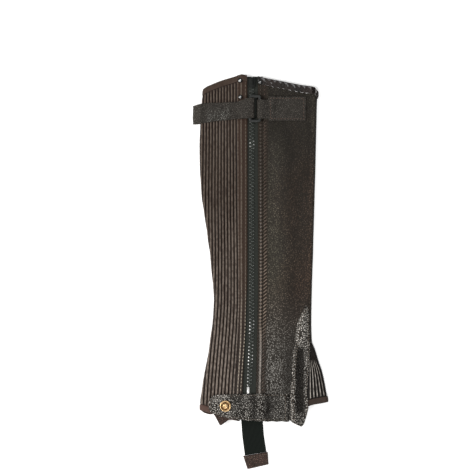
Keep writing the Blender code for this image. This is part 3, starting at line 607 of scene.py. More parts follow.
def metalPaint(name, colour, tarnish, roughness, metallic=1.0):
    paint = Paint(name, {"Metallic": metallic})
    marks = paint.noise(420.0, 4, 0.6)
    aged = paint.blend(marks.between(0.45, 0.75) * 0.5, colour, tarnish)
    # The dark share tone is tarnish in the snap's hollows; on the rivets it is their own dark, and where it
    # is low the bright colour is a painted highlight.
    paint.colour(paint.blend(paint.tone("darkShare"), aged, tarnish))
    paint.roughness(marks * 0.2 + roughness)
    paint.relief(paint.noise(1600.0, 2), 0.00003, 0.4)
    return paint.material


def teethPaint():
    # Dark moulded teeth, with painted glints on the shoulders that the tone marks.
    paint = Paint("zipTeeth", {"Metallic": 0.45})
    marks = paint.noise(420.0, 3, 0.6)
    bare = (marks * 0.8 + 0.6).clamp(0, 1) * paint.tone("bareTone")
    paint.colour(paint.blend(bare, rgb(0.030, 0.035, 0.030), rgb(0.88, 0.89, 0.87)))
    paint.roughness(marks * 0.2 + 0.18)
    paint.relief(marks, 0.00003, 0.4)
    return paint.material


def threadPaint(name, knee, foot, start, end):
    # Thread of one colour above start and another below end, in metres along Y.
    paint = Paint(name, {"Specular IOR Level": 0.4})
    twist = paint.lines(900.0, "DIAGONAL", 0.5)
    colour = paint.blend(paint.along("Y", start, end), knee, foot)
    paint.colour(paint.blend(twist * 0.7 + 0.1, paint.scaled(colour, 0.45), colour))
    paint.roughness(twist * 0.2 + 0.5)
    paint.relief(twist, 0.00006, 0.8)
    return paint.material


def liningPaint():
    paint = Paint("lining", {"Specular IOR Level": 0.2, "Sheen Weight": 0.2})
    nap = paint.noise(700.0, 3, 0.6)
    paint.colour(paint.blend(nap, rgb(0.016, 0.011, 0.009), rgb(0.040, 0.030, 0.024)))
    paint.roughness(nap * 0.15 + 0.8)
    paint.relief(nap, 0.00015, 0.6)
    return paint.material


# two colours and how rough, then the coat and its wrinkles
bindingLooks = {
    "smoothBinding": (rgb(0.036, 0.021, 0.014), rgb(0.056, 0.037, 0.027), 0.42),
    "roseBinding": (rgb(0.062, 0.032, 0.025), rgb(0.095, 0.056, 0.044), 0.42),
    "darkBinding": (rgb(0.028, 0.018, 0.013), rgb(0.046, 0.030, 0.023), 0.45),
    "shinyBinding": (rgb(0.004, 0.003, 0.002), rgb(0.018, 0.011, 0.008), 0.42, 0.8, 0.0016),
}
# colour and tarnish, roughness and metallic
# darkMetal's bright colour is a painted highlight on the rivets' domes, and its tarnish colour their own
# dark.
metals = {
    "agedBrass": (rgb(0.72, 0.50, 0.26), rgb(0.16, 0.085, 0.035), 0.22),
    "darkMetal": (rgb(0.85, 0.85, 0.83), rgb(0.03, 0.03, 0.03), 0.22),
    "brightMetal": (rgb(0.86, 0.86, 0.84), rgb(0.5, 0.5, 0.5), 0.25, 0.35),
}
# colours at the knee and the foot, and where the first ends and the second starts
threads = {
    "brownThread": (rgb(0.145, 0.090, 0.068), rgb(0.165, 0.108, 0.082), 0.15, 0.0),
    "paleThread": (rgb(0.18, 0.140, 0.105), rgb(0.20, 0.155, 0.115), 0.15, 0.0),
    "roseThread": (rgb(0.070, 0.054, 0.042), rgb(0.215, 0.190, 0.172), 0.17, 0.06),
    "creamThread": (rgb(0.17, 0.135, 0.100), rgb(0.62, 0.54, 0.42), 0.02, -0.11),
}
paints = {name + "Leather": leatherPaint(name + "Leather", look) for name, look in leathers.items()}
paints.update({name: stretchPaint(name, look) for name, look in stretches.items()})
paints.update({name: bindingPaint(name, *look) for name, look in bindingLooks.items()})
paints.update({name: metalPaint(name, *look) for name, look in metals.items()})
paints.update({name: threadPaint(name, *look) for name, look in threads.items()})
paints["blackPlastic"] = plasticPaint("blackPlastic", 0.36, 0.5)
paints["sliderPlastic"] = plasticPaint("sliderPlastic", 0.62, 0.2)
paints.update({"tape": tapePaint(), "elastic": elasticPaint()})
paints.update({"teeth": teethPaint(), "lining": liningPaint()})
print("materials made:", len(paints))


# Mesh tools.


def link(name, data):
    made = bpy.data.objects.new(name, data)
    bpy.context.scene.collection.objects.link(made)
    return made


def place(name, points, faces, paintNames, faceSlots=None, tones=None):
    # A mesh from points in millimetres. tones are numbers that its points carry for the paints.
    mesh = bpy.data.meshes.new(name)
    mesh.from_pydata((np.asarray(points, float) * mm).tolist(), [], [list(map(int, f)) for f in faces])
    for paintName in paintNames:
        mesh.materials.append(paints[paintName])
    if faceSlots is not None:
        mesh.polygons.foreach_set("material_index", np.asarray(faceSlots, np.int32))
    for toneName, values in (tones or {}).items():
        attribute = mesh.attributes.new(toneName, "FLOAT", "POINT")
        attribute.data.foreach_set("value", np.asarray(values, np.float32))
    mesh.update()
    mesh.validate()
    mesh.shade_smooth()
    return link(name, mesh)


def facing(thing, sharp=50):
    # Turns a closed mesh's faces outwards.
    shape = bmesh.new()
    shape.from_mesh(thing.data)
    bmesh.ops.recalc_face_normals(shape, faces=shape.faces)
    shape.to_mesh(thing.data)
    shape.free()
    thing.data.set_sharp_from_angle(angle=math.radians(sharp))
    return thing


def hand(thing, slot, *replaced):
    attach(thing, "root")
    if replaced:
        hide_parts(*replaced)
    return thing


def shell(name, outer, inner, paintNames, keep=None, tones=None):
    # A closed wall between two grids of points. The inner face takes the last material.
    rows, columns = outer.shape[:2]
    size = rows * columns
    keep = np.ones((rows - 1, columns - 1), bool) if keep is None else keep
    index = np.arange(size).reshape(rows, columns)
    top = np.stack([index[:-1, :-1], index[:-1, 1:], index[1:, 1:], index[1:, :-1]], -1)[keep]
    bottom = top[:, ::-1] + size
    edges = {}
    for quad in top:
        for p, q in zip(quad, np.roll(quad, -1)):
            if (q, p) in edges:
                del edges[(q, p)]
            else:
                edges[(p, q)] = True
    sides = [(q, p, p + size, q + size) for p, q in edges]
    points = np.concatenate([outer.reshape(-1, 3), inner.reshape(-1, 3)])
    faces = list(top) + list(bottom) + sides
    used = np.zeros(len(points), bool)
    for f in faces:
        used[list(f)] = True
    renumber = np.cumsum(used) - 1
    faces = [[int(renumber[v]) for v in f] for f in faces]
    slots = [0] * len(top) + [len(paintNames) - 1] * len(bottom) + [0] * len(sides)
    toned = {key: np.tile(np.ravel(values), 2)[used] for key, values in (tones or {}).items()}
    return facing(place(name, points[used], faces, paintNames, slots, toned), 60)


class Lofts:
    # Closed solids through rings of points, gathered into one mesh.
    def __init__(self):
        self.points, self.faces = [], []

    def add(self, rings, closed=False):
        # Capped at both ends unless it is closed on itself.
        first, count, across = len(self.points), len(rings), len(rings[0])
        self.points += [tuple(point) for ring in rings for point in ring]
        for r in range(count if closed else count - 1):
            a, b = first + r * across, first + (r + 1) % count * across
            for c in range(across):
                d = (c + 1) % across
                self.faces.append((a + c, a + d, b + d, b + c))
        if not closed:
            self.faces.append(tuple(first + c for c in reversed(range(across))))
            self.faces.append(tuple(first + (count - 1) * across + c for c in range(across)))

    def make(self, name, paintName, tones=None, sharp=50):
        return facing(place(name, self.points, self.faces, [paintName], tones=tones), sharp)


def sweep(name, rings, paintName, closed=False):
    lofts = Lofts()
    lofts.add(rings, closed)
    return lofts.make(name, paintName)


def around(count):
    # Cosine and sine of evenly spaced angles.
    return [(math.cos(math.tau * k / count), math.sin(math.tau * k / count)) for k in range(count)]


def squared(value, power):
    # Swells a circle's cosine or sine towards a square's.
    return math.copysign(abs(value) ** power, value)


class Ground:
    # What pieces lie on: the highest point under an x and y.
    def __init__(self, things):
        points, faces = [], []
        for thing in things:
            first = len(points)
            points += [v.co / mm for v in thing.data.vertices]
            faces += [[first + i for i in face.vertices] for face in thing.data.polygons]
        self.tree = BVHTree.FromPolygons(points, faces)

    def hit(self, x, y):
        found = self.tree.ray_cast(Vector((x, y, 100.0)), Vector((0, 0, -1)))
        return (found[0].z, found[1]) if found[0] else (None, None)

    def highest(self, x, y, reach):
        steps = (-1, -0.5, 0, 0.5, 1)
        heights = [self.hit(x + i * reach, y + j * reach)[0] for i in steps for j in steps]
        return max(-1.0 if z is None else z for z in heights)


thread = {
    "sides": 6,
    # share of its half length, then of its width
    "profile": [(-1.0, 0.35), (-0.72, 0.85), (0.0, 1.0), (0.72, 0.85), (1.0, 0.35)],
    "rise": 0.3,  # of its middle over the ground, in radii
    "dip": 0.9,  # of its ends, in radii
    "turn": 5,  # it strays this many degrees, and this far to each side
    "stray": 0.06,
}


def stitches(name, rows, paintName, size, ground, slot):
    # Short threads along rows of x, y points. size is (length, gap, radius, slant in degrees).
    length, gap, radius, slant = size
    lofts = Lofts()
    for row in rows:
        row = np.array(row, float)
        steps = np.linalg.norm(np.diff(row, axis=0), axis=1)
        reach = np.concatenate([[0], np.cumsum(steps)])

        def pointAt(way):
            return Vector((np.interp(way, reach, row[:, 0]), np.interp(way, reach, row[:, 1]), 0))

        count = max(1, int(reach[-1] / (length + gap)))
        for k in range(count):
            way = (k + 0.5) / count * reach[-1]
            middle = pointAt(way)
            z, normal = ground.hit(middle.x, middle.y)
            if z is None:
                continue
            up = Vector(normal)
            along = (pointAt(min(way + 0.4, reach[-1])) - pointAt(max(way - 0.4, 0))).normalized()
            turn = slant + random.uniform(-thread["turn"], thread["turn"])
            along = Matrix.Rotation(math.radians(turn), 3, "Z") @ along
            along = (along - up * along.dot(up)).normalized()
            across = up.cross(along)
            middle.z = z
            stray = random.uniform(-thread["stray"], thread["stray"])
            middle += up * radius * thread["rise"] + across * stray
            half = length / 2 * random.uniform(0.92, 1.05)
            rings = []
            for share, wide in thread["profile"]:
                centre = middle + along * half * share - up * (radius * thread["dip"] * share * share)
                offsets = [(across * c + up * s) * radius * wide for c, s in around(thread["sides"])]
                rings.append([centre + offset for offset in offsets])
            lofts.add(rings)
    return hand(lofts.make(name, paintName), slot)


def line(*points, step=2.0):
    # Evenly spaced points along straight runs.
    found = []
    for (ax, ay), (bx, by) in zip(points, points[1:]):
        count = max(1, int(math.hypot(bx - ax, by - ay) / step))
        found += [(mix(ax, bx, k / count), mix(ay, by, k / count)) for k in range(count)]
    return found + [points[-1]]


# Main panel of smooth leather.

mainPanel = {
    "rows": (130, 400),  # below and above the gusset's top
    # start, end and steps of s
    "spans": [(0, 0.17, 14), (0.17, 1, 24), (1, 2, 2), (2, 3, 10), (3, 4, 2), (4, 5, 26)],
    "stitched": (-86, -56),  # between these heights the welt at the foot gives way to the dashes
    "sewn": (-152, -140, 176, 190),
    "puckerPitch": 4.2,  # the sewing machine's stitch
    # what follows is measured from the zip's edge
    "dash": (3.3, 1.7, 0.80),  # middle, half width, height
    "pucker": (5.2, 6.6, 9.6, 11.5),  # start, full, fading and end of the slanted puckers
    "puckerHeight": 0.62,
    "strip": (10.4, 12.0),  # where the sewn strip's tint ends
    "welt": (4.8, 1.2, 0.85),  # middle, half width and height at the foot
    "weltEnd": (-150, -143),
    "rimAndGrooves": [(1.3, 0.9, 0.25), (1.6, 0.7, -0.35), (5.9, 0.7, -0.40)],
    "roundEdge": (1.1, 0.55),  # width and depth
    # x of the start, crest and end, and the height of the soft hump beside the zip
    "swell": (9, 27, 64, 1.7),
    "swellAlong": (-64, -30, 148, 172),
    "fine": [(0.11, 9, 16, 1.0), (0.16, 22, 34, 5.0)],
    # middle x and y, reach across and along, height: soft hollows and swellings
    "creases": [
        (20, 96, 6, 70, 0.30), (46, 20, 8, 70, -0.45), (58, 60, 4, 80, 0.35), (12, -60, 8, 50, -0.30),
        (30, -100, 9, 26, 0.50), (16, -122, 6, 18, -0.40), (26, 150, 12, 14, -0.30), (57, 165, 5, 26, 0.35),
        (30, -20, 7, 40, 0.30), (22, -138, 9, 9, 0.35), (40, 110, 9, 30, -0.30), (34, -66, 7, 20, -0.35),
    ],
    # y, painted light (above 0) and painted shade (below 0) beside the zip and towards the front fold
    "worn": [
        (-140, -0.1, -0.55), (-115, 0.0, -0.65), (-58, 0.05, -0.55), (0, 0.4, -0.25), (57, 0.2, -0.5),
        (115, 0.0, -0.5), (172, -0.65, -0.66), (240, -0.65, -0.65),
    ],
    "flat": (0.198, 0.412),
    "area": 0.0675,
}


def mainRelief(s, x, y):
    # How far the outer face stands off its plain form, then the sewn strip's place and the painted highlight
    # on its ridges.
    look = mainPanel
    onTop = 1 - ramp(1.7, 2.0, s)
    fromZip = x - zipRight(y)
    phase = math.tau / look["puckerPitch"]
    drift = softNoise(x, y, 40, 30, 3.0) * 0.9
    stitched = ramp(*look["stitched"], y)
    sewn = plateau(y, *look["sewn"])
    middle, width, high = look["dash"]
    edge = (0.35 + 0.65 * np.cos(y * phase + drift)) * bump(fromZip, middle, width) * high * stitched * sewn
    middle, width, high = look["welt"]
    edge = edge + high * ramp(*look["weltEnd"], y) * (1 - stitched) * bump(fromZip, middle, width)
    width, deep = look["roundEdge"]
    edge = edge - deep * (1 - ramp(0.0, width, fromZip)) + bumps(fromZip, look["rimAndGrooves"])
    slanted = np.cos((y - (fromZip - 6) * 0.9) * phase + drift) * plateau(fromZip, *look["pucker"])
    edge = edge + look["puckerHeight"] * slanted * sewn * (0.35 + 0.65 * stitched)
    soft = sum(h * bump(x, cx, rx) * bump(y, cy, ry) for cx, cy, rx, ry, h in look["creases"])
    rise, crest, fall, high = look["swell"]
    swell = high * plateau(x, rise, crest, crest, fall) * plateau(y, *look["swellAlong"])
    unsunk = tube["sag"] * sagShare(x, y) * ramp(16, 34, x)
    fine = softNoises(x, y, look["fine"])
    strip = onTop * (1 - ramp(*look["strip"], fromZip)) * ramp(-154, -146, y)
    ridge = np.clip(0.35 + edge * 1.1, 0, 1) * strip
    return onTop * (edge + swell + unsunk + (soft + fine) * ramp(5.0, 16.0, fromZip)), strip, ridge


def mainPaintedLightAndMottle(x, y):
    # Painted light and shade, in times the tint that the leather is lighter: across the panel from the
    # table, a painted highlight inside the front fold and painted shade at its very edge, with some random
    # mottle.
    heights, beside, across = zip(*mainPanel["worn"])
    worn = mix(np.interp(y, heights, beside), np.interp(y, heights, across), ramp(14, 36, x))
    worn = worn + 0.16 * softNoise(x, y, 13, 42, 8.0)
    worn = worn + 0.5 * bump(x, front(y) - 4.2, 2.4) * ramp(-60, 0, y)
    return np.maximum(worn - 0.9 * bump(x, front(y) + 0.2, 1.5), -0.9)


def panelRows(low, high, counts, knot):
    # y of each row, with one row of points on the knot.
    below, above = counts
    v = np.concatenate([np.linspace(0, 1, below, endpoint=False), np.linspace(1, 2, above + 1)])[:, None]
    return np.where(v < 1, mix(low, knot, np.clip(v, 0, 1)), mix(knot, high, np.clip(v - 1, 0, 1)))


def makeMainPanel():
    look = mainPanel
    s = spans(*look["spans"])
    inset = tube["binding"] + tube["gap"]
    high = edgeOf(leatherAt, s, upperTop, underTop, inset)
    low = edgeOf(leatherAt, s, upperBottom, underBottom, -inset)
    y = panelRows(low, high, look["rows"], tube["gussetTop"])
    grid = np.broadcast_to(s, y.shape)
    x = leatherAt(grid, y, 0.0)[0]
    free = ramp(tube["leatherLip"], tube["leatherLip"] + 3, np.minimum(high - y, y - low))
    out, strip, ridge = mainRelief(grid, x, y)
    out = out * np.where(y > 0, free, 1.0)
    # Below the gusset's top the panel stops at its seams with the gusset.
    keep = np.ones((y.shape[0] - 1, len(s) - 1), bool)
    keep[: look["rows"][0], (s[:-1] >= 1 - 1e-9) & (s[1:] <= 4 + 1e-9)] = False
    # The last tone is painted light and shade with some random mottle.
    tones = {"stripTone": strip, "ridgeHighlightTone": ridge, "wornTone": mainPaintedLightAndMottle(x, y) * (1 - strip)}
    outer, inner = surface(leatherAt, grid, y, out), surface(leatherAt, grid, y, -tube["leather"])
    made = shell("mainPanel", outer, inner, ["mainLeather", "lining"], keep, tones)
    return hand(made, "leather", "leather_body")


mainPiece = makeMainPanel()
print("main panel:", len(mainPiece.data.polygons), "faces")


# Ribbed back.

ribbedBack = {
    "rows": 200,
    "perRib": 8,
    "sharpness": 0.95,  # under 1 fills the ribs out and leaves narrow troughs
    "sway": 0.16,  # a rib wanders this far to each side
    # y and x along the two sewn ridges of the margin
    "outerRow": [
        (240, -22.6), (170, -22.7), (110, -22.3), (20, -22.4), (-30, -22.2), (-60, -22.9), (-84, -23.4),
        (-100, -24.4), (-118, -25.4), (-134, -26.6), (-170, -28.4),
    ],
    "innerRow": [
        (240, -17.6), (110, -17.2), (20, -17.4), (-30, -17.6), (-60, -18.0), (-84, -19.2), (-100, -20.4),
        (-118, -21.8), (-134, -22.9), (-170, -24.6),
    ],
    "rowWidths": (1.05, 0.9),
    "rowHeights": (0.55, 0.32),
    "flat": (0.083, 0.400),
    "area": 0.0300,
}


def ribShape(s, power):
    return np.clip(1 - (2 * np.mod(s, 1.0) - 1) ** 2, 0, 1) ** power


def makeRibbedBack():
    look, count = ribbedBack, ribs["count"]
    s = spans((-1, 0, 22), (0, count, count * look["perRib"]), (count, count + 1, 8))
    inset = tube["binding"] + tube["gap"]
    high = edgeOf(stretchAt, s, upperTop, underTop, inset)
    low = edgeOf(stretchAt, s, upperBottom, underBottom, -inset)
    y = mix(low, high, np.linspace(0, 1, look["rows"] + 1)[:, None])
    grid = np.broadcast_to(s, y.shape)
    x, _, turn = stretchAt(grid, y, 0.0)
    free = ramp(tube["stretchLip"], tube["stretchLip"] + 2.5, np.minimum(high - y, y - low))
    # The ribs sway and vary in height, and flatten out in the fold.
    onRibs = (grid >= 0) & (grid <= count)
    number = np.floor(np.clip(grid, 0, count - 1e-6))
    sway = look["sway"] * softNoise(number * 3.1, y, 1.0, 30, 2.0) * np.sin(np.mod(grid, 1.0) * math.pi)
    uneven = 1 + 0.16 * softNoise(number * 2.7, y, 1.0, 22, 4.0)
    uneven = uneven + 0.10 * softNoise(number * 1.9, y, 1.0, 5, 6.0)
    flatter = 1 - ramp(0.35, 0.85, turn)
    profile = np.where(onRibs, ribShape(grid, look["sharpness"]), 0.0)
    # The margin beside the zip has two sewn ridges and one against the ribs.
    fromRibs = np.clip(-grid, 0, 1)
    lines = zip(("outerRow", "innerRow"), look["rowWidths"], look["rowHeights"])
    rows = sum(bump(x, Curve(look[row])(y), width) * height for row, width, height in lines)
    rows = rows + bump(fromRibs, 0.14, 0.08) * 0.5
    beads = 1 + 0.25 * np.cos(y * math.tau / mainPanel["puckerPitch"])
    margin = ribs["margin"] * plateau(fromRibs, 0.0, 0.12, 0.9, 1.0) + rows * beads
    out = np.where(grid < 0, margin, ribs["height"] * profile * flatter * uneven) * free
    # The rib tone gives painted shade in the troughs, a painted highlight on the crests and the sewn ridges,
    # and darker cloth next to the ribs.
    marginTone = mix(0.25, 0.58, ramp(0.0, 0.10, fromRibs))
    marginTone = marginTone + 0.42 * np.clip(rows / 0.5, 0, 1) ** 2 * beads ** 2
    tone = np.where(grid < 0, marginTone, np.where(onRibs, profile * (0.8 + 0.2 * flatter), 0.5))
    tones = {"ribTone": mix(0.6, tone, free), "marginTone": np.where(grid < 0, 1.0, 0.0)}
    outer = surface(stretchAt, np.where(onRibs, grid + sway * 0.25, grid), y, out)
    inner = surface(stretchAt, grid, y, -tube["stretch"])
    made = shell("ribbedBack", outer, inner, ["stretch", "lining"], tones=tones)
    return hand(made, "stretch", "stretch_back")


backPiece = makeRibbedBack()
print("ribbed back:", len(backPiece.data.polygons), "faces")


# Instep gusset.

gusset = {"ribs": 5, "perRib": 8, "rows": 56, "height": 0.9, "flat": (0.052, 0.078), "area": 0.0027}


def makeGusset():
    look = gusset
    s = spans((0, 1, look["ribs"] * look["perRib"]), (1, 2, 12), (2, 3, 8))
    low = edgeOf(gussetAt, s, gussetBottom, gussetBottom, -tube["binding"] - tube["gap"])
    y = mix(low, tube["gussetTop"] - tube["gap"], np.linspace(0, 1, look["rows"] + 1)[:, None])
    grid = np.broadcast_to(s, y.shape)
    turn = gussetAt(grid, y, 0.0)[2]
    number = grid * look["ribs"] - 0.5
    ribbed = (grid <= 1.1) & (grid > 0.5 / look["ribs"])
    free = ramp(tube["stretchLip"], tube["stretchLip"] + 2, y - low) * ramp(-92, -112, y)
    profile = np.where(ribbed, ribShape(number, 0.8), 0.3)
    uneven = 1 + 0.15 * softNoise(np.floor(number) * 2.3, y, 1.0, 9, 8.0)
    out = look["height"] * profile * free * uneven * (1 - ramp(0.2, 0.8, turn))
    # The rib tone gives painted shade in the troughs and a painted highlight on the crests.
    tone = mix(0.45, np.where(ribbed, profile ** 2, 0.5), free)
    outer, inner = surface(gussetAt, grid, y, out), surface(gussetAt, grid, y, -tube["stretch"])
    made = shell("instepGusset", outer, inner, ["gussetStretch", "lining"], tones={"ribTone": tone})
    return hand(made, "stretch", "gusset")


gussetPiece = makeGusset()


# Bindings.

# pitch is from wrinkle to wrinkle, flat the strip's cut width and length
bindings = {
    "leatherTopBinding": {
        "node": "leather_top_binding", "slot": "shiny_leather", "paint": "shinyBinding", "lip": 8.0,
        "wall": 1.5, "wrinkle": 0.48, "pitch": 4.6, "flat": (0.0113, 0.200), "steps": 420,
    },
    "stretchTopBinding": {
        "node": "stretch_top_binding", "slot": "binding", "paint": "smoothBinding", "lip": 6.0, "wall": 1.2,
        "wrinkle": 0.10, "pitch": 9.0, "flat": (0.010, 0.075), "steps": 170,
    },
    "stretchHem": {
        "node": "stretch_hem_binding", "slot": "binding", "paint": "roseBinding", "lip": 6.0, "wall": 1.2,
        "wrinkle": 0.10, "pitch": 9.0, "flat": (0.010, 0.075), "steps": 170,
    },
    "gussetHem": {
        "node": "gusset_binding", "slot": "binding", "paint": "darkBinding", "lip": 6.0, "wall": 1.2,
        "wrinkle": 0.08, "pitch": 8.0, "flat": (0.010, 0.052), "steps": 120,
    },
}


def makeBinding(name, at, start, end, upper, under, side):
    look = bindings[name]
    lip, wall, gap = look["lip"], look["wall"], tube["gap"]
    full = gap + tube["binding"]
    # Its section: how far out of the wall's face and how far beyond the wall's edge.
    section = [
        (gap, -lip), (full - 0.25, -lip - 0.1), (full, -lip + 0.5), (full + 0.1, -lip * 0.75),
        (full + 0.14, -lip * 0.5), (full + 0.12, -lip * 0.25), (full + 0.05, 0.0), (full - 0.1, 0.55),
        (full - 0.45, 0.95), (0.2, full), (-0.5, full), (-wall + 0.2, full - 0.15), (-wall, 0.75),
        (-wall, gap), (gap - 0.05, gap),
    ]
    s = np.linspace(start, end, look["steps"] + 1)
    edge = edgeOf(at, s, upper, under, side * full)
    lengths = (s - start) / (end - start) * look["flat"][1] / mm
    drift = 2.2 * softNoise(lengths, lengths * 0, 14.0, 1.0, 11.0)
    rings = []
    for out, beyond in section:
        rim = edge + side * min(beyond, 0.0)
        folds = 0.0
        if out >= full - 0.2:
            swell = np.sin(math.pi * np.clip((beyond + lip) / (lip + full), 0.06, 0.94))
            wave = np.sin(lengths * math.tau / look["pitch"] + beyond * 0.8 + drift)
            wave = wave + 0.5 * softNoise(lengths, lengths * 0 + beyond, 2.6, 3.0, 7.0)
            folds = look["wrinkle"] * swell * wave * (1 - ramp(0.55, 0.9, at(s, rim, 0.0)[2]))
        x, z, _ = at(s, rim, out + folds)
        rings.append(np.stack([x, edge + side * beyond, z], -1))
    made = hand(sweep(name, np.stack(rings, 1), look["paint"]), look["slot"], look["node"])


lastRib = ribs["count"] + 1
makeBinding("leatherTopBinding", leatherAt, 0.0, 5.0, upperTop, underTop, 1)
makeBinding("stretchTopBinding", stretchAt, -1.0, lastRib, upperTop, underTop, 1)
makeBinding("stretchHem", stretchAt, -1.0, lastRib, upperBottom, underBottom, -1)
makeBinding("gussetHem", gussetAt, 0.0, 3.0, gussetBottom, gussetBottom, -1)
print("bindings made")


# Zip.

zipper = {
    "pitch": 4.15,  # between teeth of one side
    "top": 224.1,
    "bottom": -136.6,
    # y and x along the chain's middle
    "middle": [
        (-168, -13.0), (-134, -12.7), (-118, -12.2), (-100, -11.4), (-84, -10.7), (-60, -9.9), (240, -9.7),
    ],
    # y, how strong the painted glint is on the left teeth and on the right ones
    "bare": [
        (160, 0.05, 0.0), (153, 0.5, 0.25), (146, 0.05, 0.0), (-54, 0.10, 0.05), (-62, 0.55, 0.25),
        (-69, 1.0, 0.12), (-76, 0.15, 0.02), (-82, 0.10, 0.04), (-89, 0.40, 0.20), (-96, 0.60, 0.08),
        (-103, 1.0, 0.50), (-109, 1.0, 0.15), (-114, 0.35, 0.04), (-119, 0.30, 0.05), (-127, 0.60, 0.06),
        (-137, 0.35, 0.02),
    ],
    # from the chain's middle, half width, half length, height
    "shoulder": (2.25, 0.92, 1.10, 1.0),
    "neck": (0.55, 1.25, 1.10, 0.38),
    # share of its height, then of its width
    "dome": [(-1.0, 0.80), (-0.2, 1.0), (0.35, 1.0), (0.70, 0.82), (0.92, 0.5), (0.98, 0.12)],
    "sides": 14,
    "tapeEnds": (-168, 234.6),
    "tapeFromMiddle": 0.35,
    "tapeUnder": 6.0,  # sewn under each panel's edge
    "tapeThick": 0.6,
    "tapeFlat": (0.012, 0.403),
}


def makeTeeth():
    # Each tooth is a low neck with a domed shoulder at its outer end.
    lofts, tones = Lofts(), []
    middle = Curve(zipper["middle"])
    glintLeft, glintRight = curvesOf(zipper["bare"])
    count = int((zipper["top"] - zipper["bottom"]) / zipper["pitch"] * 2)
    for k in range(count):
        y = zipper["bottom"] + (k + 0.5) * zipper["pitch"] / 2
        side, bare = (1, float(glintRight(y))) if k % 2 else (-1, float(glintLeft(y)))
        x = float(middle(y))
        z = float(upperInside(x, y)) + 0.02
        for (off, wide, long, high), tone in ((zipper["shoulder"], bare), (zipper["neck"], 0.0)):
            rings = [
                [
                    (x + side * off + squared(c, 0.8) * wide * share, y + squared(s, 0.8) * long * share,
                     z + (height * high if height > 0 else height))
                    for c, s in around(zipper["sides"])
                ]
                for height, share in zipper["dome"]
            ]
            lofts.add(rings)
            tones += [tone] * (len(rings) * zipper["sides"])
    return hand(lofts.make("zipTeeth", "teeth", {"bareTone": tones}, 60), "black_plastic", "zip_chain")


def makeTape(name, side, node):
    # A woven tape with a corded edge beside the teeth.
    y = np.linspace(*zipper["tapeEnds"], 202)[:, None]
    share = np.array([0, 0.06, 0.14, 0.3, 0.5, 0.75, 1.0])[None, :]
    near = Curve(zipper["middle"])(y) + side * zipper["tapeFromMiddle"]
    far = (zipLeft(y) if side < 0 else zipRight(y)) + side * zipper["tapeUnder"]
    x = mix(near, far, share)
    y = np.broadcast_to(y, x.shape)
    z = upperInside(x, y) - tube["gap"] + 0.25 * bump(share, 0.06, 0.06)
    outer, inner = np.stack([x, y, z], -1), np.stack([x, y, z - zipper["tapeThick"]], -1)
    made = hand(shell(name, outer, inner, ["tape"]), "zip_tape", node)


def roundedNode(node, name, paintName, slot, width):
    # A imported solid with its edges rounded.
    shape = bmesh.new()
    shape.from_mesh(nodes[node].data)
    bmesh.ops.remove_doubles(shape, verts=shape.verts, dist=1e-6)
    bmesh.ops.dissolve_limit(shape, angle_limit=math.radians(2), verts=shape.verts, edges=shape.edges)
    sharp = [e for e in shape.edges if len(e.link_faces) == 2 and e.calc_face_angle(0) > math.radians(28)]
    bmesh.ops.bevel(shape, geom=sharp, offset=width * mm, segments=3, affect="EDGES", clamp_overlap=True)
    mesh = bpy.data.meshes.new(name)
    shape.to_mesh(mesh)
    shape.free()
    mesh.materials.append(paints[paintName])
    mesh.shade_smooth()
    hand(link(name, mesh), slot, node)


teeth = makeTeeth()
makeTape("zipTapeBack", -1, "zip_tape_back")
makeTape("zipTapeFront", 1, "zip_tape_front")
roundedNode("zip_slider", "zipSlider", "sliderPlastic", "black_plastic", 0.35)
roundedNode("zip_box", "zipBox", "blackPlastic", "black_plastic", 0.4)
roundedNode("zip_pin", "zipPin", "brightMetal", "bright_metal", 0.7)
print("zip:", len(teeth.data.polygons), "faces in the teeth")


# Patches and the closure tab.

toePatch = {
    "thickness": 1.3,
    "blurs": 6,
    "wrinkles": [(0.28, 5.0, 9.0, 21.0), (0.16, 2.2, 3.4, 22.0)],
    "sides": [(38.8, 2.6, 0.8), (56.2, 2.2, 0.8), (46.8, 4.4, -0.8)],  # two ridges and the valley between
    "sidesAlong": (-86, -100),
    "flat": (0.024, 0.148),
    "area": 0.0026,
    # y, left, right
    "outline": [
        (-185.4, 48.6, 50.4), (-183.6, 44.8, 51.6), (-181.2, 39.6, 53.0), (-179.4, 37.2, 53.6),
        (-175.2, 36.8, 54.8), (-169.2, 36.6, 56.5), (-160.8, 35.8, 58.0), (-154.0, 36.0, 57.0),
        (-147.6, 36.1, 56.4), (-139.0, 36.7, 56.8), (-130.8, 37.3, 57.4), (-122.0, 37.8, 58.0),
        (-114.0, 38.2, 58.4), (-106.8, 38.9, 58.8), (-100.0, 39.6, 59.4), (-94.8, 40.1, 59.8),
        (-88.0, 41.2, 59.6), (-82.8, 42.1, 59.2), (-75.0, 42.8, 59.0), (-67.0, 43.6, 58.9),
        (-59.4, 44.8, 58.8), (-54.0, 47.6, 58.6), (-48.0, 50.8, 58.0), (-40.6, 54.4, 56.4),
    ],
}
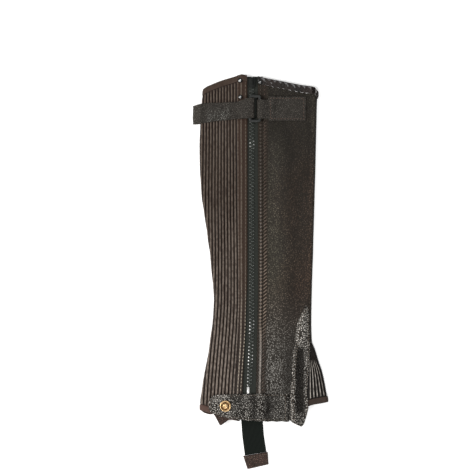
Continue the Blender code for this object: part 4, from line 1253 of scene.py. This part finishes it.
closureTab = {
    "thickness": 1.4,
    "blurs": 5,
    "flat": (0.034, 0.100),
    "area": 0.0031,
    # x, low, high
    "outline": [
        (-61.6, -163.2, -156.0), (-60.6, -166.0, -152.6), (-58.6, -168.4, -149.8), (-55.4, -170.4, -148.0),
        (-48.0, -172.6, -146.8), (-40.0, -174.2, -146.4), (-32.0, -175.6, -146.2), (-24.0, -176.6, -146.0),
        (-16.0, -177.6, -145.8), (-8.0, -178.4, -145.6), (2.0, -179.0, -145.6), (12.0, -179.2, -145.6),
        (22.0, -179.3, -145.6), (34.6, -179.4, -145.6),
    ],
    # x, width and height of each fold across it, then the painted light and shade on it
    "folds": [
        (-17, 4.5, 0.50), (-7.6, 4.0, -0.50), (0.6, 3.6, 0.50), (9.5, 5, -0.55), (22, 6, 0.35),
        (32.4, 0.9, -0.6), (-30, 5, 0.35),
    ],
    "worn": [(-17, 4.5, 0.40), (-7.6, 4.0, -0.60), (0.6, 3.6, 0.40), (9.5, 5, -0.45)],
    "wrinkles": [(0.22, 5.0, 8.0, 31.0), (0.14, 2.0, 2.6, 32.0)],
    "hollow": (6, 11, 0.6),  # round the snap: radii and depth
}
snapBase = {
    "thickness": 1.2,
    "blurs": 5,
    "flat": (0.034, 0.034),
    "area": 0.0009,
    "outline": [
        (-56.4, -169.6, -153.0), (-54.4, -172.6, -151.0), (-51.0, -178.6, -150.0), (-47.8, -183.8, -150.0),
        (-42.0, -180.2, -150.0), (-36.0, -177.0, -150.0), (-30.0, -177.8, -150.0), (-24.6, -178.8, -150.0),
    ],
}
snap = {
    "x": -41.7,
    "y": -160.1,
    # radius, height, how dark the recess is
    "profile": [
        (6.75, 0.0, 0.4), (6.9, 0.25, 0.1), (6.85, 0.7, 0.0), (6.5, 1.15, 0.0), (6.0, 1.4, 0.0),
        (5.5, 1.42, 0.1), (5.1, 1.2, 0.5), (4.9, 0.95, 1.0), (4.5, 0.85, 1.0), (4.1, 0.85, 1.0),
        (3.7, 0.95, 0.9), (3.4, 1.3, 0.3), (3.1, 1.75, 0.0), (2.6, 2.15, 0.0), (2.0, 2.35, 0.0),
        (1.4, 2.30, 0.2), (1.1, 2.2, 0.6), (0.8, 2.3, 0.2), (0.4, 2.45, 0.0), (0.1, 2.5, 0.0),
    ],
    "flutes": 20,
}
# shares across a patch, close together at its edges
patchShares = np.concatenate([[0, 0.012, 0.03, 0.06], np.linspace(0.1, 0.9, 25), [0.94, 0.97, 0.988, 1]])


def blur(z, times):
    for _ in range(times):
        padded = np.pad(z, 1, mode="edge")
        z = (padded[:-2, 1:-1] + padded[2:, 1:-1] + padded[1:-1, :-2] + padded[1:-1, 2:] + 2 * z) / 6
    return z


def toEnds(x, y, axis):
    # Distance along the grid's axis to the nearer of its two ends.
    first, last = np.take(x, [0], axis), np.take(x, [-1], axis)
    firstY, lastY = np.take(y, [0], axis), np.take(y, [-1], axis)
    return np.minimum(np.hypot(x - first, y - firstY), np.hypot(x - last, y - lastY))


def laidPatch(name, node, x, y, look, relief, paintName, worn=None):
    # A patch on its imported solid's form. x and y are grids, outermost points on its outline.
    ground = Ground([nodes[node]])
    rows, columns = x.shape
    middleX, middleY = x.mean(), y.mean()
    z = np.zeros_like(x)
    for r in range(rows):
        for c in range(columns):
            # A point just off the solid takes the height a little further in.
            near = min(max(r, 1), rows - 2), min(max(c, 1), columns - 2)
            pulled = [(mix(x[near], middleX, t), mix(y[near], middleY, t)) for t in (0.02, 0.05, 0.1, 0.2)]
            heights = (ground.hit(*point)[0] for point in [(x[r, c], y[r, c])] + pulled)
            z[r, c] = next((height for height in heights if height is not None), 0.0)
    z = blur(z, look["blurs"])
    fromEdge = np.minimum(toEnds(x, y, 1), toEnds(x, y, 0))
    inside = np.clip(fromEdge / 1.3, 0, 1)
    drop = look["thickness"] * 0.75 * (1 - np.sqrt(1 - (1 - inside) ** 2))
    top = z + relief(x, y) * np.clip(fromEdge / 3, 0, 1) - drop
    outer, inner = np.stack([x, y, top], -1), np.stack([x, y, z - look["thickness"]], -1)
    return shell(name, outer, inner, [paintName], tones={"wornTone": worn(x, y)} if worn else None)


def toeForm(x, y):
    sides = ramp(*toePatch["sidesAlong"], y) * bumps(x, toePatch["sides"])
    return softNoises(x, y, toePatch["wrinkles"]) + sides


def toePaintedLight(x, y):
    # Painted highlights on the ridges at the sides and at the top, painted shade in the smooth valley
    # between them.
    left, right = bump(x, 38.8 + 0.02 * (y + 130), 2.8), bump(x, 56.2, 2.4)
    top = ramp(-96, -78, y) * ramp(-40, -56, y) * bump(x, 48.5, 5.5)
    foot = ramp(-162, -176, y)
    valley = plateau(x, 40.5, 44.5, 50.5, 54.0) * ramp(-82, -96, y) * (1 - 0.85 * foot)
    worn = 0.9 * left + 0.4 * right * ramp(-88, -104, y) + 0.9 * top + 0.1 * foot - 0.95 * valley - 0.1
    return np.maximum(worn, -0.88)


def tabPaintedLightAndMottle(x, y):
    # Painted light and shade on the folds, darker beyond the seam and towards the right, lighter at the snap
    # end, with some random mottle.
    worn = bumps(x, closureTab["worn"]) - 0.5 * ramp(32.4, 36, x) - 0.30 * ramp(-32, -24, x)
    return worn + 0.15 * softNoise(x, y, 14, 14, 33.0) + 0.45 * (1 - ramp(-44, -30, x))


def tabForm(x, y):
    folds = bumps(x, closureTab["folds"]) * ramp(-182, -160, y)
    near, far, deep = closureTab["hollow"]
    hollow = deep * (1 - ramp(near, far, np.hypot(x - snap["x"], y - snap["y"])))
    return folds + softNoises(x, y, closureTab["wrinkles"]) - hollow


def baseForm(x, y):
    return 0.12 * softNoise(x, y, 6, 6, 41.0)


def makeToePatch():
    left, right = curvesOf(toePatch["outline"])
    y = np.linspace(toePatch["outline"][0][0], toePatch["outline"][-1][0], 122)[:, None]
    x = mix(left(y), right(y), patchShares[None, :])
    y = np.broadcast_to(y, x.shape)
    made = laidPatch("toePatch", "toe_patch", x, y, toePatch, toeForm, "coarseLeather", toePaintedLight)
    hand(made, "coarse_leather", "toe_patch")
    return made


def makeTab(name, node, look, form, paintName, slot, wavy, worn=None):
    low, high = curvesOf(look["outline"])
    start, end = look["outline"][0][0], look["outline"][-1][0]
    x = mix(start, end, np.linspace(0, 1, int((end - start) / 1.1)))[:, None]
    wave = wavy * np.sin(x * 0.55) * ramp(-50, -30, x)
    y = mix(low(x) + wave, high(x), patchShares[None, :])
    made = laidPatch(name, node, np.broadcast_to(x, y.shape), y, look, form, paintName, worn)
    hand(made, slot, node)
    return made


toe = makeToePatch()
base = makeTab("snapBase", "snap_base", snapBase, baseForm, "tipLeather", "leather", 0.0)
tab = makeTab(
    "closureTab", "closure_tab", closureTab, tabForm, "coarseLeather", "coarse_leather", 0.35, tabPaintedLightAndMottle
)
print("patches made")


# Straps and the ring.


def smoothRoute(points, step):
    # A Catmull-Rom line through the points, evenly sampled.
    points = [Vector(p) for p in points]
    points = [points[0] * 2 - points[1]] + points + [points[-1] * 2 - points[-2]]
    dense = []
    for a, b, c, d in zip(points, points[1:], points[2:], points[3:]):
        for t in np.arange(24) / 24:
            curved = (2 * a - 5 * b + 4 * c - d) * t * t + (3 * b - a - 3 * c + d) * t ** 3
            dense.append(0.5 * (2 * b + (c - a) * t + curved))
    dense.append(points[-2])
    dense = np.array([tuple(p) for p in dense])
    reach = np.concatenate([[0], np.cumsum(np.linalg.norm(np.diff(dense, axis=0), axis=1))])
    at = np.linspace(0, reach[-1], max(2, int(reach[-1] / step)))
    return np.stack([np.interp(at, reach, dense[:, k]) for k in range(dense.shape[1])], -1)


def flatStrap(name, route, step, edges, thickness, relief, tones=None):
    # A flat strap along x, z points. edges gives its low and high y at each x along the way.
    path = smoothRoute(route, step)
    ahead = np.gradient(path[:, :2], axis=0)
    ahead /= np.linalg.norm(ahead, axis=1)[:, None]
    normal = np.stack([-ahead[:, 1], ahead[:, 0]], -1)
    low, high = edges(path)
    share = np.concatenate([[0, 0.02, 0.05], np.linspace(0.1, 0.9, 14), [0.95, 0.98, 1]])
    fromEdge = np.minimum(share, 1 - share) * (high - low).mean()
    roundness = np.sqrt(np.clip(1 - (1 - np.clip(fromEdge / 0.8, 0, 1)) ** 2, 0, 1))
    half = thickness / 2 * (0.35 + 0.65 * roundness)[None, :]
    y = low[:, None] + (high - low)[:, None] * share[None, :]
    outer, inner = [
        np.stack([path[:, :1] + normal[:, :1] * off, y, path[:, 1:2] + normal[:, 1:] * off], -1)
        for off in (half + relief(path, y), -half)
    ]
    return shell(name, outer, inner, ["strapLeather"], tones=tones(path, y) if tones else None)


topStrap = {
    "thickness": 1.3,
    "step": 0.9,
    "flat": (0.0225, 0.131),
    "tail": 3.3,  # height of the middle of its turn round the back fold
    "stitchInset": 2.2,  # from each edge to the pressed line
    "wrinkles": [(0.22, 9.0, 7.0, 52.0), (0.10, 3.0, 3.0, 53.0)],
    # x, low, high
    "edges": [
        (-81.0, 177.0, 199.0), (-73.4, 177.6, 201.2), (-62.6, 179.4, 202.6), (-45.0, 181.4, 203.0),
        (-30.2, 183.0, 203.5), (-24.0, 183.6, 205.2), (-14.6, 184.2, 208.2), (-6.0, 184.6, 208.4),
    ],
}
ring = {"left": -13.4, "right": 1.0, "low": 179.4, "high": 211.9, "bar": 3.0, "thick": 2.2, "corner": 1.3}
ringTab = {
    "thickness": 1.4,
    "step": 0.8,
    "flat": (0.0295, 0.075),
    "neck": (183.6, 206.4),  # low and high y in the ring and on the panel
    "wide": (181.2, 210.6),
    "end": 54.4,
    "sewn": (12.2, 52.2, 183.6, 208.2),  # left, right, low and high of its stitching
}
carriers = (
    "leather_body", "stretch_back", "gusset", "leather_top_binding", "stretch_top_binding",
    "stretch_hem_binding", "gusset_binding", "zip_chain", "zip_pin", "zip_box", "zip_tape_back",
    "zip_tape_front",
)


def arc(centreX, centreZ, radiusX, radiusZ, start, end):
    angles = [math.radians(mix(start, end, k / 6)) for k in range(7)]
    return [(centreX + radiusX * math.cos(a), centreZ + radiusZ * math.sin(a)) for a in angles]


def makeTopStrap(ground, ringZ):
    step = topStrap["step"]
    half, gap = topStrap["thickness"] / 2, tube["gap"]
    crest = max(ground.highest(x, 192, 9) for x in (-64, -56, -48, -40, -32, -24)) + gap + half
    overTail = ground.highest(-14, 196, 9) + gap + half
    # From the seam underneath, round the back fold, over the ribs, through the ring and back.
    route = [(-61.5, half), (-68, half), (-74.5, half)]
    route += arc(-77.6, topStrap["tail"], 2.65, 2.65, 270, 90)
    route += [(-74.8, 6.9), (-71.5, 8.5), (-67.5, crest), (-58, crest), (-48, crest), (-42, crest + 0.4)]
    route += [(-36, crest + 1.7), (-26, crest + 1.7), (-18, ringZ + 2.1), (-14, ringZ + 2.2)]
    route += arc(-10.0, ringZ, 2.6, 2.2, 90, -90)
    route += [(-14, overTail), (-18.5, max(overTail, crest)), (-24, crest), (-33, crest)]
    low, high = curvesOf(topStrap["edges"])

    def edges(path):
        along = np.arange(len(path)) * step
        wave = 0.22 * softNoise(along, along * 0, 11.0, 1.0, 51.0)
        return low(path[:, 0]) + wave, high(path[:, 0]) - wave * 0.8

    def relief(path, y):
        along = np.arange(len(path))[:, None] * step + 0 * y
        soft = softNoises(along, y, topStrap["wrinkles"])
        x, inset = path[:, :1], topStrap["stitchInset"]
        return soft - 0.25 * bump(y, low(x) + inset, 0.5) - 0.25 * bump(y, high(x) - inset, 0.5)

    def tones(path, y):
        # Coarser grain with painted glints on the lower half between the fold and the zip, and a painted
        # highlight on the fold.
        x = path[:, :1]
        grainAndGlint = plateau(x, -67, -60, -40, -33) * bump(y, low(x) + 6, 7)
        return {"coarseTone": 0.9 * grainAndGlint, "wornTone": 0.35 * (1 - ramp(-76, -71, x)) + 0 * y}

    made = flatStrap("topStrap", route, step, edges, topStrap["thickness"], relief, tones)
    hand(made, "leather", "top_strap")
    return made


def makeRing(z):
    # A rounded bar round a rectangle with rounded corners.
    half, radius = ring["bar"] / 2, ring["corner"]
    left, right = ring["left"] + half + radius, ring["right"] - half - radius
    low, high = ring["low"] + half + radius, ring["high"] - half - radius
    thick = ring["thick"] / 2
    section = [(radius + squared(c, 0.5) * half, squared(s, 0.5) * thick) for c, s in around(16)]
    rings = []
    for cx, cy, start in ((right, high, 0), (left, high, 90), (left, low, 180), (right, low, 270)):
        for k in range(7):
            angle = math.radians(start + 15 * k)
            nx, ny = math.cos(angle), math.sin(angle)
            rings.append([(cx + nx * reach, cy + ny * reach, z + up) for reach, up in section])
    return hand(sweep("strapRing", rings, "blackPlastic", closed=True), "black_plastic", "strap_ring")


def makeRingTab(ground, ringZ):
    thickness = ringTab["thickness"]
    rest = ground.highest(24, 196, 12) + tube["gap"] + thickness / 2
    above = rest + thickness + tube["gap"]
    neck, wide = ringTab["neck"], ringTab["wide"]
    # x, z and 0 in the neck or 1 where it is wide: under the ring's bar, round it and over the panel.
    bent = arc(-0.9, ringZ, 2.5, 2.25, 270, 90)
    narrow = [(15.0, rest), (9.0, rest), (3.0, rest + 0.1)] + bent + [(2.2, ringZ + 2.2), (5.6, rest + 3.0)]
    route = [(x, z, 0) for x, z in narrow] + [(9.2, above + 0.1, 0), (10.4, above, 1), (15.6, above, 1)]
    route += [(19.5, rest + 0.5, 1)] + [(x, rest, 1) for x in (26.0, 35.0, 44.0, ringTab["end"])]

    def edges(path):
        share = np.clip(path[:, 2], 0, 1)
        return mix(neck[0], wide[0], share), mix(neck[1], wide[1], share)

    def relief(path, y):
        # Soft waves, and pressed lines under the stitches.
        x = path[:, :1] + 0 * y
        left, right, low, high = ringTab["sewn"]
        rows = (bump(y, low, 0.5) + bump(y, high, 0.5)) * ramp(9, 12, x) + bump(x, right, 0.5)
        rows = rows + bump(x, left, 0.5) * ramp(0.5, 1, path[:, 2:3])
        return 0.14 * softNoise(x, y, 7.0, 6.0, 61.0) - 0.25 * rows

    made = flatStrap("ringTab", route, ringTab["step"], edges, thickness, relief)
    hand(made, "leather", "ring_tab")
    return made


carried = Ground([nodes[name] for name in carriers])
ringZ = carried.highest(-6, 196, 9) + 2 * tube["gap"] + topStrap["thickness"] + ring["thick"] / 2
strap = makeTopStrap(carried, ringZ)
makeRing(ringZ)
ringTabPiece = makeRingTab(carried, ringZ)
print("strap, ring and tab made; ring at", round(ringZ, 2), "mm")


# Stirrup strap.

stirrup = {
    "thickness": 1.0,
    "cords": 17,
    "flat": (0.0258, 0.094),
    # left x, left y, right x, right y, z
    "lines": [
        (-25.8, -128.0, 0.2, -128.0, 1.2), (-25.4, -140.0, 0.6, -140.0, 1.2),
        (-24.8, -153.0, 1.2, -153.0, 1.2), (-24.2, -159.0, 1.8, -159.0, 0.8),
        (-23.6, -166.0, 2.4, -166.0, 0.1), (-22.8, -178.0, 3.2, -178.0, 0.0),
        (-21.4, -197.8, 4.7, -196.8, 0.0), (-19.6, -211.6, 6.4, -208.4, 0.0),
        (-18.4, -221.0, 7.6, -216.6, 0.0),
    ],
    "tipThickness": 2.5,
    "tipLines": [
        (-20.4, -221.7, 9.2, -216.6, 0.0), (-18.8, -226.4, 9.6, -221.4, 0.0),
        (-17.0, -231.8, 9.9, -226.4, 0.0), (-15.2, -237.2, 10.2, -231.4, 0.0),
    ],
    "tipFlat": (0.017, 0.031),
    "anchorThickness": 0.85,
    "anchorLines": [(-26.4, -152.6, 1.6, -152.6, 0.0), (-26.8, -126.0, 0.8, -126.0, 0.0)],
    "anchorFlat": (0.028, 0.0266),
}


def strip(name, lines, thickness, size, paintName, form, tone=None):
    # A strip through lines across it, from the floor up. size is its rows and its inner columns.
    table = np.array(lines, float)
    keys = np.linspace(0, 1, len(table))
    curves = [Curve(list(zip(keys, table[:, k]))) for k in range(5)]
    v = np.linspace(0, 1, size[0])[:, None]
    u = np.concatenate([[0, 0.012, 0.035], np.linspace(0.07, 0.93, size[1]), [0.965, 0.988, 1]])[None, :]
    x = mix(curves[0](v), curves[2](v), u)
    y = mix(curves[1](v), curves[3](v), u)
    floor = np.broadcast_to(curves[4](v), x.shape)
    width = np.hypot(table[0, 2] - table[0, 0], table[0, 3] - table[0, 1])
    fromEdge = np.minimum(np.minimum(u, 1 - u) * width, toEnds(x, y, 0) + 0.25)
    rounded = np.sqrt(np.clip(1 - (1 - np.clip(fromEdge / (thickness * 0.6), 0, 1)) ** 2, 0, 1))
    top = floor + thickness * (0.45 + 0.55 * rounded) + form(u, v, x, y)
    tones = {"cordTone": tone(u) + 0 * x} if tone else None
    return shell(name, np.stack([x, y, top], -1), np.stack([x, y, floor], -1), [paintName], tones=tones)


def cordTone(u):
    return 0.5 - 0.5 * np.cos(u * math.tau * stirrup["cords"])


def elasticForm(u, v, x, y):
    cords = 0.16 * cordTone(u) * plateau(u, 0, 0.02, 0.98, 1)
    return cords + 0.05 * softNoise(x, y, 6, 9, 71.0)


def tipForm(u, v, x, y):
    return 0.18 * softNoise(x, y, 4, 4, 72.0) - 0.2 * bump(v, 0.16, 0.04) + 0.05


def plainForm(u, v, x, y):
    return 0.0 * x


elastic = strip(
    "stirrupElastic", stirrup["lines"], stirrup["thickness"], (90, 68), "elastic", elasticForm, cordTone
)
hand(elastic, "elastic", "stirrup_elastic")
tip = strip("stirrupTip", stirrup["tipLines"], stirrup["tipThickness"], (30, 40), "tipLeather", tipForm)
hand(tip, "leather", "stirrup_tip")
anchor = strip(
    "anchorPatch", stirrup["anchorLines"], stirrup["anchorThickness"], (30, 30), "mainLeather", plainForm
)
hand(anchor, "leather", "anchor_patch")
print("stirrup strap made")


# Snap and rivets.

rivets = {
    # x, y and how bright the painted highlight in the middle is
    "places": [(-24.2, 229.6, 1.0), (-0.2, 227.4, 0.40), (-23.9, 209.8, 0.55)],
    # radius, height, how dark
    "profile": [
        (2.75, 0.0, 1.0), (2.8, 0.2, 1.0), (2.72, 0.45, 1.0), (2.45, 0.72, 1.0), (2.0, 1.0, 1.0),
        (1.5, 1.22, 0.85), (1.0, 1.38, 0.25), (0.5, 1.47, 0.0), (0.12, 1.5, 0.0),
    ],
}


def turned(name, x, y, profile, sides, paintName, slot, node, flute=None):
    # A turned piece on its node's lowest level. flute gives a height for a radius and angle.
    lofts, tones = Lofts(), []
    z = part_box(node)[0].z / mm
    rings = []
    for radius, height, dark in profile:
        rises = [flute(radius, math.tau * k / sides) if flute else 0.0 for k in range(sides)]
        rings.append([
            (x + radius * c, y + radius * s, z + height + rise) for (c, s), rise in zip(around(sides), rises)
        ])
        tones += [dark] * sides
    lofts.add(rings)
    hand(lofts.make(name, paintName, {"darkShare": tones}, 40), slot, node)


def snapFlute(radius, angle):
    wave = angle * snap["flutes"]
    inRing, onRim = bump(radius, 4.4, 0.9), bump(radius, 6.0, 0.5)
    return 0.22 * inRing * math.cos(wave) + 0.08 * onRim * math.cos(wave * 2)


turned("snapCap", snap["x"], snap["y"], snap["profile"], 120, "agedBrass", "brass", "snap_cap", snapFlute)
for number, (x, y, bright) in enumerate(rivets["places"], 1):
    profile = [(radius, height, 1 - (1 - dark) * bright) for radius, height, dark in rivets["profile"]]
    turned(f"rivet{number}", x, y, profile, 40, "darkMetal", "dark_metal", f"rivet_{number}")
print("metal made")


# Piping in the seam underneath.

# out of the seam's middle, up from the lower layer's face
pipingSection = [
    (-1.05, 0.25), (-0.7, 0.05), (0, 0.0), (0.7, 0.05), (1.05, 0.25), (1.1, 0.9), (0.85, 1.5), (0.4, 1.85),
    (0, 1.95), (-0.4, 1.85), (-0.85, 1.5), (-1.1, 0.9),
]


def makePiping():
    low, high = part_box("seam_piping")
    y = np.linspace(low.y / mm, high.y / mm, 190)
    x = underSeam(y)
    z = lift(x, y)
    rings = np.stack([np.stack([x + dx, y, z + dz], -1) for dx, dz in pipingSection], 1)
    hand(sweep("seamPiping", rings, "smoothBinding"), "binding", "seam_piping")


makePiping()


# Sewing.

sewing = {
    "zipRuns": [(-143, 178, 260), (211, 226, 12)],  # from, to, points
    "edgeRow": 3.3,  # from the zip's edge
    "puckerRow": 8.2,
    # length, gap, radius, slant of each thread
    "edge": (3.0, 1.2, 0.60, 0),
    "pucker": (2.4, 1.8, 0.40, -42),
    "margin": (2.9, 1.4, 0.46, 0),
    "ringTab": (2.4, 1.4, 0.40, 0),
    "toe": (2.2, 1.4, 0.34, 0),
    "closureTab": (2.2, 1.4, 0.32, 0),
    "tip": (2.2, 1.2, 0.32, 0),
    # from, to, points, from the left edge or, if below 0, from the right one
    "toeRows": [(-178, -44, 110, 1.5), (-178, -44, 110, 4.0), (-172, -50, 100, -1.5)],
    "tabRoundEnd": [
        (-55.0, -149.8), (-57.6, -152.0), (-59.2, -155.5), (-59.8, -159.5), (-59.0, -163.5), (-57.4, -166.4),
        (-55, -168.2),
    ],
    "tabSeam": [(30.2, -147.6), (30.2, -177.0)],
    "tipRow": [(-19.2, -224.0), (9.2, -218.9)],
}


def sewAlongZip():
    ground = Ground([mainPiece, backPiece])
    outer, inner = Curve(ribbedBack["outerRow"]), Curve(ribbedBack["innerRow"])
    edgeRows, puckerRows, marginRows = [], [], []
    for low, high, count in sewing["zipRuns"]:
        y = np.linspace(low, high, count)
        edgeRows.append(np.stack([zipRight(y) + sewing["edgeRow"], y], -1))
        puckerRows.append(np.stack([zipRight(y) + sewing["puckerRow"], y], -1))
        marginRows += [np.stack([outer(y), y], -1), np.stack([inner(y), y], -1)]
    stitches("zipEdgeStitches", edgeRows, "roseThread", sewing["edge"], ground, "leather")
    stitches("puckerStitches", puckerRows, "brownThread", sewing["pucker"], ground, "leather")
    stitches("stretchZipStitches", marginRows, "creamThread", sewing["margin"], ground, "stretch")


def sewPatches():
    ground = Ground([toe, tab, ringTabPiece, strap, base, mainPiece, backPiece, tip])
    left, right, low, high = ringTab["sewn"]
    frameRow = line((left, low), (right, low), (right, high), (left, high), (left, low))
    stitches("ringTabStitches", [frameRow], "brownThread", sewing["ringTab"], ground, "leather")
    left, right = curvesOf(toePatch["outline"])
    toeRows = []
    for start, end, count, inset in sewing["toeRows"]:
        y = np.linspace(start, end, count)
        toeRows.append(np.stack([(left(y) if inset > 0 else right(y)) + inset, y], -1))
    stitches("toeStitches", toeRows, "paleThread", sewing["toe"], ground, "coarse_leather")
    low, high = curvesOf(closureTab["outline"])
    x = np.linspace(-55, 34, 80)
    tabRows = [np.stack([x, low(x) + 2.0], -1), np.stack([x[::-1], high(x[::-1]) - 1.8], -1)]
    tabRows += [sewing["tabRoundEnd"], line(*sewing["tabSeam"])]
    stitches("closureTabStitches", tabRows, "paleThread", sewing["closureTab"], ground, "coarse_leather")
    stitches("tipStitches", [line(*sewing["tipRow"])], "paleThread", sewing["tip"], ground, "leather")


sewAlongZip()
sewPatches()
print("sewing made")


# Floor, light and camera.

studio = {
    "eye": (-0.0302, 0.0444, 1.572),
    "lens": 100,
    "floor": rgb(0.95, 0.95, 0.945),
    "floorSide": 6.0,
    "floorDrop": 0.0002,
    "world": 0.30,
    # name, place, target, size, power, colour
    "lights": [
        ("sideLight", (-1.0, 0.0, 1.1), (0, 0, 0), (0.45, 0.45), 14.0, (1.0, 0.985, 0.965)),
        ("headLight", (0.35, 1.05, 1.5), (0, 0.1, 0), (0.6, 0.6), 5.0, (0.98, 0.99, 1.0)),
        ("footLight", (0.05, -0.85, 1.35), (0, 0, 0), (0.4, 0.3), 9.0, (1.0, 0.99, 0.975)),
    ],
}


def makeFloor():
    side, z = studio["floorSide"], -studio["floorDrop"]
    mesh = bpy.data.meshes.new("floor")
    corners = [(-side, -side, z), (side, -side, z), (side, side, z), (-side, side, z)]
    mesh.from_pydata(corners, [], [(0, 1, 2, 3)])
    finish = {"Specular IOR Level": 0.1, "Emission Color": rgb(1, 1, 1), "Emission Strength": 0.4}
    paint = Paint("paleFloor", finish)
    shade = paint.noise(3.0, 2)
    paint.colour(paint.blend(shade, studio["floor"], rgb(*[0.99 * v for v in studio["floor"][:3]])))
    paint.roughness(shade * 0.1 + 0.8)
    mesh.materials.append(paint.material)
    link("floor", mesh)


def areaLight(name, where, target, size, power, colour):
    light = bpy.data.lights.new(name, "AREA")
    light.shape = "RECTANGLE"
    light.size, light.size_y = size
    light.energy = power
    light.color = colour
    made = link(name, light)
    made.location = where
    made.rotation_mode = "QUATERNION"
    made.rotation_quaternion = (Vector(target) - Vector(where)).to_track_quat("-Z", "Y")


def makeStudio():
    scene = bpy.context.scene
    world = bpy.data.worlds.new("studio")
    world.use_nodes = True
    background = world.node_tree.nodes["Background"]
    background.inputs["Color"].default_value = rgb(1, 1, 1)
    background.inputs["Strength"].default_value = studio["world"]
    scene.world = world
    scene.view_settings.view_transform = "Standard"
    for light in studio["lights"]:
        areaLight(*light)
    # Straight above the chap, which lies flat.
    camera = bpy.data.cameras.new("camera")
    camera.lens = studio["lens"]
    camera.sensor_width = 36
    scene.camera = link("camera", camera)
    scene.camera.location = studio["eye"]


makeFloor()
makeStudio()
print("studio made")
